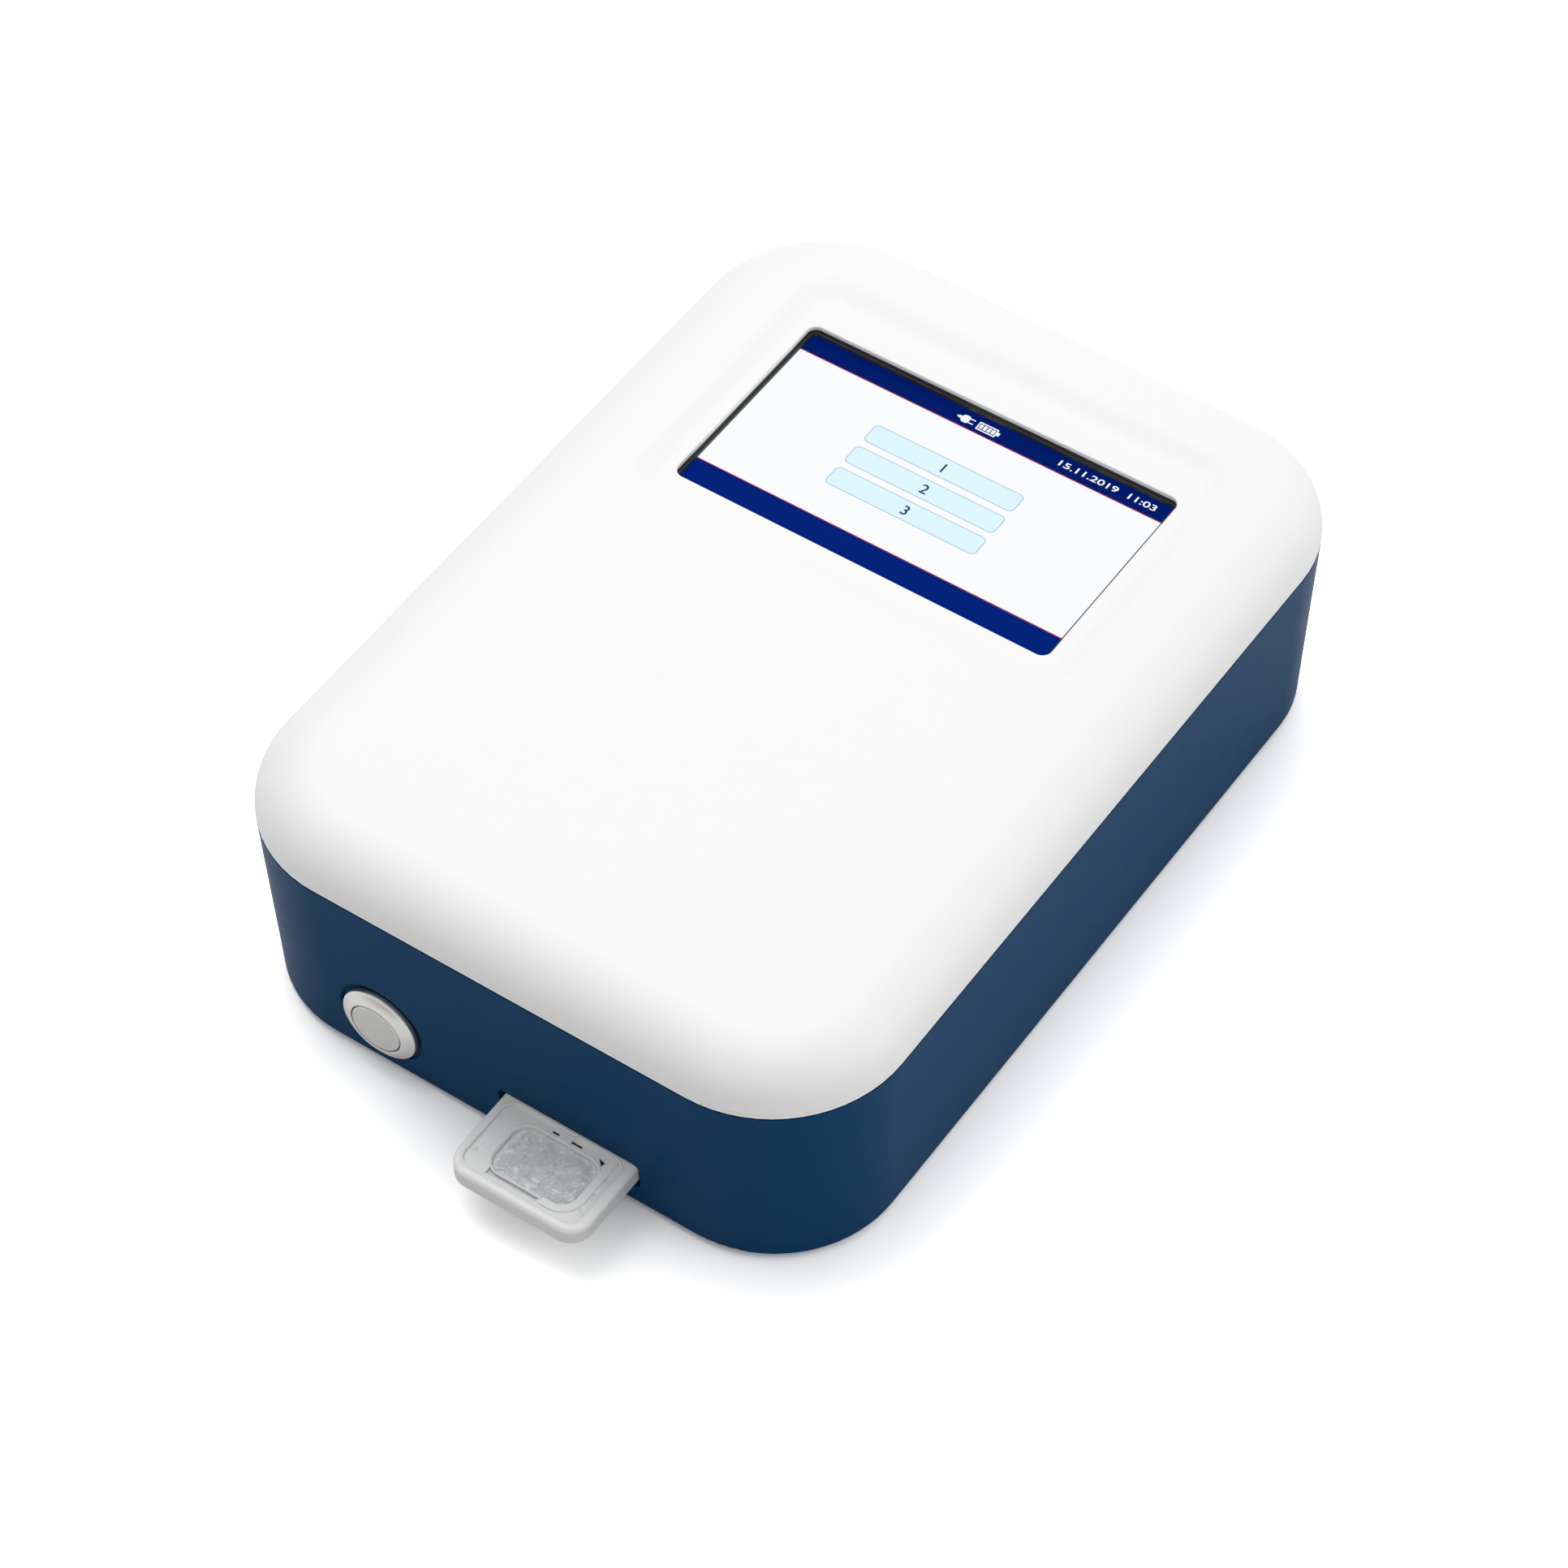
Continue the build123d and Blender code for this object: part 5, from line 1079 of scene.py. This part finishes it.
class ReaderScreen(bpy.types.Operator):
    """Builds the lit picture under the glass: bands, buttons, icons and numbers"""

    bl_idname = "reader.screen"
    bl_label = "Build the screen"

    def execute(self, context):
        s = context.scene.reader_screen
        self.light = s.light
        width, length = s.width / MM, s.length / MM
        left, right = -width / 2, width / 2
        top, bottom = DISPLAY_Y + length / 2, DISPLAY_Y - length / 2
        head, foot = s.header / MM, s.footer / MM
        line = 0.3
        white = linear(250, 254, 255)
        navy, blue = linear(1, 27, 104), linear(0, 33, 122)
        red, edge = linear(196, 66, 96), linear(150, 178, 214)
        ink = linear(18, 62, 120)
        self.panel("screen_field", left, right, bottom, top, 0, linear(253, 254, 255))
        self.panel("screen_header", left, right, head, top, 1, navy)
        self.panel("screen_footer", left, right, bottom, foot, 1, blue)
        self.panel("screen_header_line", left, right, head - line, head, 1, red)
        self.panel("screen_footer_line", left, right, foot, foot + line, 1, red)
        # three buttons, each an outline under a paler face, with its number
        button_w, button_l, middle_x = s.button / MM, 6.7, -2.05
        x0 = middle_x - button_w / 2
        for number, y in enumerate((67.95, 59.1, 50.3), 1):
            y0, y1 = y - button_l / 2, y + button_l / 2
            x1 = x0 + button_w
            self.panel(f"screen_edge_{number}", x0, x1, y0, y1, 1, edge, 1.5)
            face = (x0 + 0.2, x1 - 0.2, y0 + 0.2, y1 - 0.2)
            self.panel(f"screen_button_{number}", *face, 2, linear(226, 248, 253), 1.3)
            self.number(f"screen_number_{number}", str(number), middle_x, y - 1.6, 3.2, 3, ink)
        self.number("screen_clock", "15.11.2019  11:03", 35.7, 85.2, 2.0, 3, white, 29.0)
        # painted shadow: a dark strip on the picture where the rim's gap shades it on the right
        self.panel("screen_gap_shadow", 53.95, 54.25, bottom + 1, top - 1, 5, linear(70, 70, 74))
        # battery with four bars, and a plug on its lead: edges, layer, colour and corner
        icons = [
            ("battery", -3.1, 2.7, 84.1, 87.0, 2, white, 0.25),
            ("battery_tip", 2.7, 3.5, 84.95, 86.15, 2, white, 0.1),
            ("battery_well", -2.7, 2.3, 84.5, 86.6, 3, navy, 0.1),
        ]
        for i in range(4):
            x = -2.45 + 1.2 * i
            icons.append((f"bar_{i + 1}", x, x + 0.9, 84.75, 86.35, 4, white, 0.05))
        icons += [
            ("plug", -8.0, -5.7, 84.3, 87.0, 2, white, 0.8),
            ("plug_neck", -9.0, -7.6, 85.2, 86.1, 2, white, 0.2),
            ("plug_lead", -9.5, -8.9, 85.5, 85.8, 2, white, 0.1),
            ("pin_1", -5.9, -4.2, 86.2, 86.55, 2, white, 0.1),
            ("pin_2", -5.9, -4.2, 84.75, 85.1, 2, white, 0.1),
        ]
        for name, *shape in icons:
            self.panel(f"screen_{name}", *shape)
        return {"FINISHED"}

    def height(self, layer):
        """Height of a layer of the picture, in millimetres, just over the panel."""
        return PANEL_Z + 0.02 + 0.01 * layer

    def panel(self, name, x0, x1, y0, y1, layer, colour, radius=0.01):
        z = self.height(layer)
        mesh = bmesh.new()
        outline = loop(
            x1 - x0, y1 - y0, radius, z, y=(y0 + y1) / 2, x=(x0 + x1) / 2, corner_steps=6
        )
        mesh.faces.new([mesh.verts.new(point) for point in outline])
        glow = lit_screen(name, colour, self.light).material
        return piece(name, mesh, "display_panel", "housing", material=glow)

    def number(self, name, digits, x, y, height, layer, colour, width=None):
        """Digits as flat faces, centred on x, standing on y."""
        curve = bpy.data.curves.new(name, "FONT")
        curve.body = digits
        curve.align_x = "CENTER"
        curve.size = height * 1.42 * MM
        curve.offset = 0.018 * height * MM
        holder = placed(name, curve)
        bpy.context.view_layer.update()
        graph = bpy.context.evaluated_depsgraph_get()
        flat = bpy.data.meshes.new_from_object(holder.evaluated_get(graph))
        mesh = bmesh.new()
        mesh.from_mesh(flat)
        if width:
            xs = [vert.co.x for vert in mesh.verts]
            stretch = width * MM / (max(xs) - min(xs))
            bmesh.ops.scale(mesh, verts=mesh.verts, vec=Vector((stretch, 1.0, 1.0)))
        place = Vector((x, y, self.height(layer))) * MM
        bmesh.ops.translate(mesh, verts=mesh.verts, vec=place)
        bpy.data.objects.remove(holder)
        bpy.data.curves.remove(curve)
        bpy.data.meshes.remove(flat)
        glow = lit_screen(name, colour, self.light).material
        return piece(name, mesh, "display_panel", "housing", material=glow)


# ---------------------------------------------------------------- studio


class ReaderStudio(bpy.types.Operator):
    """Sets the floor, the lamps, the background and the camera"""

    bl_idname = "reader.studio"
    bl_label = "Set the studio"

    def execute(self, context):
        scene = context.scene
        self.floor()
        self.lamp("lamp_back", (-0.75, 0.5, 2.0), 1.8, 23.0)
        self.lamp("lamp_right", (1.6, 0.2, 0.9), 1.4, 6.2)
        self.world()
        self.camera()
        scene.view_settings.view_transform = "Standard"
        return {"FINISHED"}

    def floor(self):
        mesh = bmesh.new()
        bmesh.ops.create_grid(mesh, x_segments=24, y_segments=24, size=4.0)
        data = bpy.data.meshes.new("floor")
        mesh.to_mesh(data)
        mesh.free()
        floor = placed("floor", data)
        finish = Finish("floor_paper", Roughness=0.9, Specular_IOR_Level=0.1)
        fibres = finish.noise(500.0, 3.0)
        # overexposed for the camera, with the object's shadow still on it
        seen = finish.node("ShaderNodeLightPath", output="Is Camera Ray")
        paper = finish.mix(fibres, (0.9, 0.9, 0.9), (0.92, 0.92, 0.92))
        finish.set("Base Color", finish.mix(seen, paper, (1.75, 1.75, 1.74)))
        data.materials.append(finish.material)

    def lamp(self, name, place, size, power):
        data = bpy.data.lights.new(name, "AREA")
        data.shape = "SQUARE"
        data.size = size
        data.energy = power
        lamp = placed(name, data)
        lamp.location = place
        lamp.rotation_euler = Vector(place).to_track_quat("Z", "Y").to_euler()

    def world(self):
        world = bpy.data.worlds.new("studio")
        bpy.context.scene.world = world
        world.use_nodes = True
        nodes, links = world.node_tree.nodes, world.node_tree.links
        output = nodes["World Output"]
        soft = nodes["Background"]
        soft.inputs["Color"].default_value = (1.0, 1.0, 1.0, 1.0)
        # a room that is brighter overhead and behind than low down in front
        place = nodes.new("ShaderNodeTexCoord")
        lean = nodes.new("ShaderNodeVectorMath")
        lean.operation = "DOT_PRODUCT"
        lean.inputs[1].default_value = (-0.1, 0.4, 0.85)
        level = nodes.new("ShaderNodeMapRange")
        level.interpolation_type = "SMOOTHSTEP"
        limits = {"From Min": -0.5, "From Max": 0.9, "To Min": 0.1, "To Max": 0.76}
        for name, value in limits.items():
            level.inputs[name].default_value = value
        links.new(place.outputs["Generated"], lean.inputs[0])
        links.new(lean.outputs["Value"], level.inputs["Value"])
        links.new(level.outputs["Result"], soft.inputs["Strength"])
        white = nodes.new("ShaderNodeBackground")
        white.inputs["Strength"].default_value = 1.0
        seen = nodes.new("ShaderNodeLightPath")
        mix = nodes.new("ShaderNodeMixShader")
        links.new(seen.outputs["Is Camera Ray"], mix.inputs[0])
        links.new(soft.outputs[0], mix.inputs[1])
        links.new(white.outputs[0], mix.inputs[2])
        links.new(mix.outputs[0], output.inputs["Surface"])

    def camera(self):
        azimuth, elevation, roll = (math.radians(v) for v in (34.61, 50.55, -0.461))
        back = Vector(
            (
                math.sin(azimuth) * math.cos(elevation),
                -math.cos(azimuth) * math.cos(elevation),
                math.sin(elevation),
            )
        )
        level = Vector((math.cos(azimuth), math.sin(azimuth), 0.0))
        right = math.cos(roll) * level + math.sin(roll) * back.cross(level)
        up = back.cross(right)
        data = bpy.data.cameras.new("camera")
        data.lens = 115.47
        data.sensor_width = 36.0
        data.shift_x, data.shift_y = -0.0182, 0.0075
        data.clip_start, data.clip_end = 0.05, 50.0
        camera = placed("camera", data)
        turn = Matrix((right, up, back)).transposed().to_4x4()
        camera.matrix_world = Matrix.Translation((0.46994, -0.67611, 1.00609)) @ turn
        bpy.context.scene.camera = camera


# ---------------------------------------------------------------- add-on


class ReaderPanel(bpy.types.Panel):
    """Lists the reader's settings and the steps that build it"""

    bl_idname = "VIEW3D_PT_reader"
    bl_label = "Rapid test reader"
    bl_space_type = "VIEW_3D"
    bl_region_type = "UI"
    bl_category = "Reader"

    def draw(self, context):
        scene = context.scene
        for group in (getattr(scene, name) for name in SETTINGS):
            column = self.layout.column()
            for name in type(group).__annotations__:
                column.prop(group, name)
        for step in STEPS:
            self.layout.operator(step.bl_idname)


SETTINGS = {
    "reader_cover": ReaderCoverSettings,
    "reader_button": ReaderButtonSettings,
    "reader_pad": ReaderPadSettings,
    "reader_screen": ReaderScreenSettings,
}
STEPS = (
    ReaderFinishNodes,
    ReaderCover,
    ReaderButton,
    ReaderPad,
    ReaderScreen,
    ReaderStudio,
)


def register():
    for cls in (*SETTINGS.values(), *STEPS, ReaderPanel):
        bpy.utils.register_class(cls)
    for name, cls in SETTINGS.items():
        setattr(bpy.types.Scene, name, bpy.props.PointerProperty(type=cls))


def unregister():
    for name in SETTINGS:
        delattr(bpy.types.Scene, name)
    for cls in reversed((*SETTINGS.values(), *STEPS, ReaderPanel)):
        bpy.utils.unregister_class(cls)


def main():
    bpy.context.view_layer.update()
    register()
    for step in STEPS:
        group, name = step.bl_idname.split(".")
        getattr(getattr(bpy.ops, group), name)()


if __name__ == "__main__":
    main()
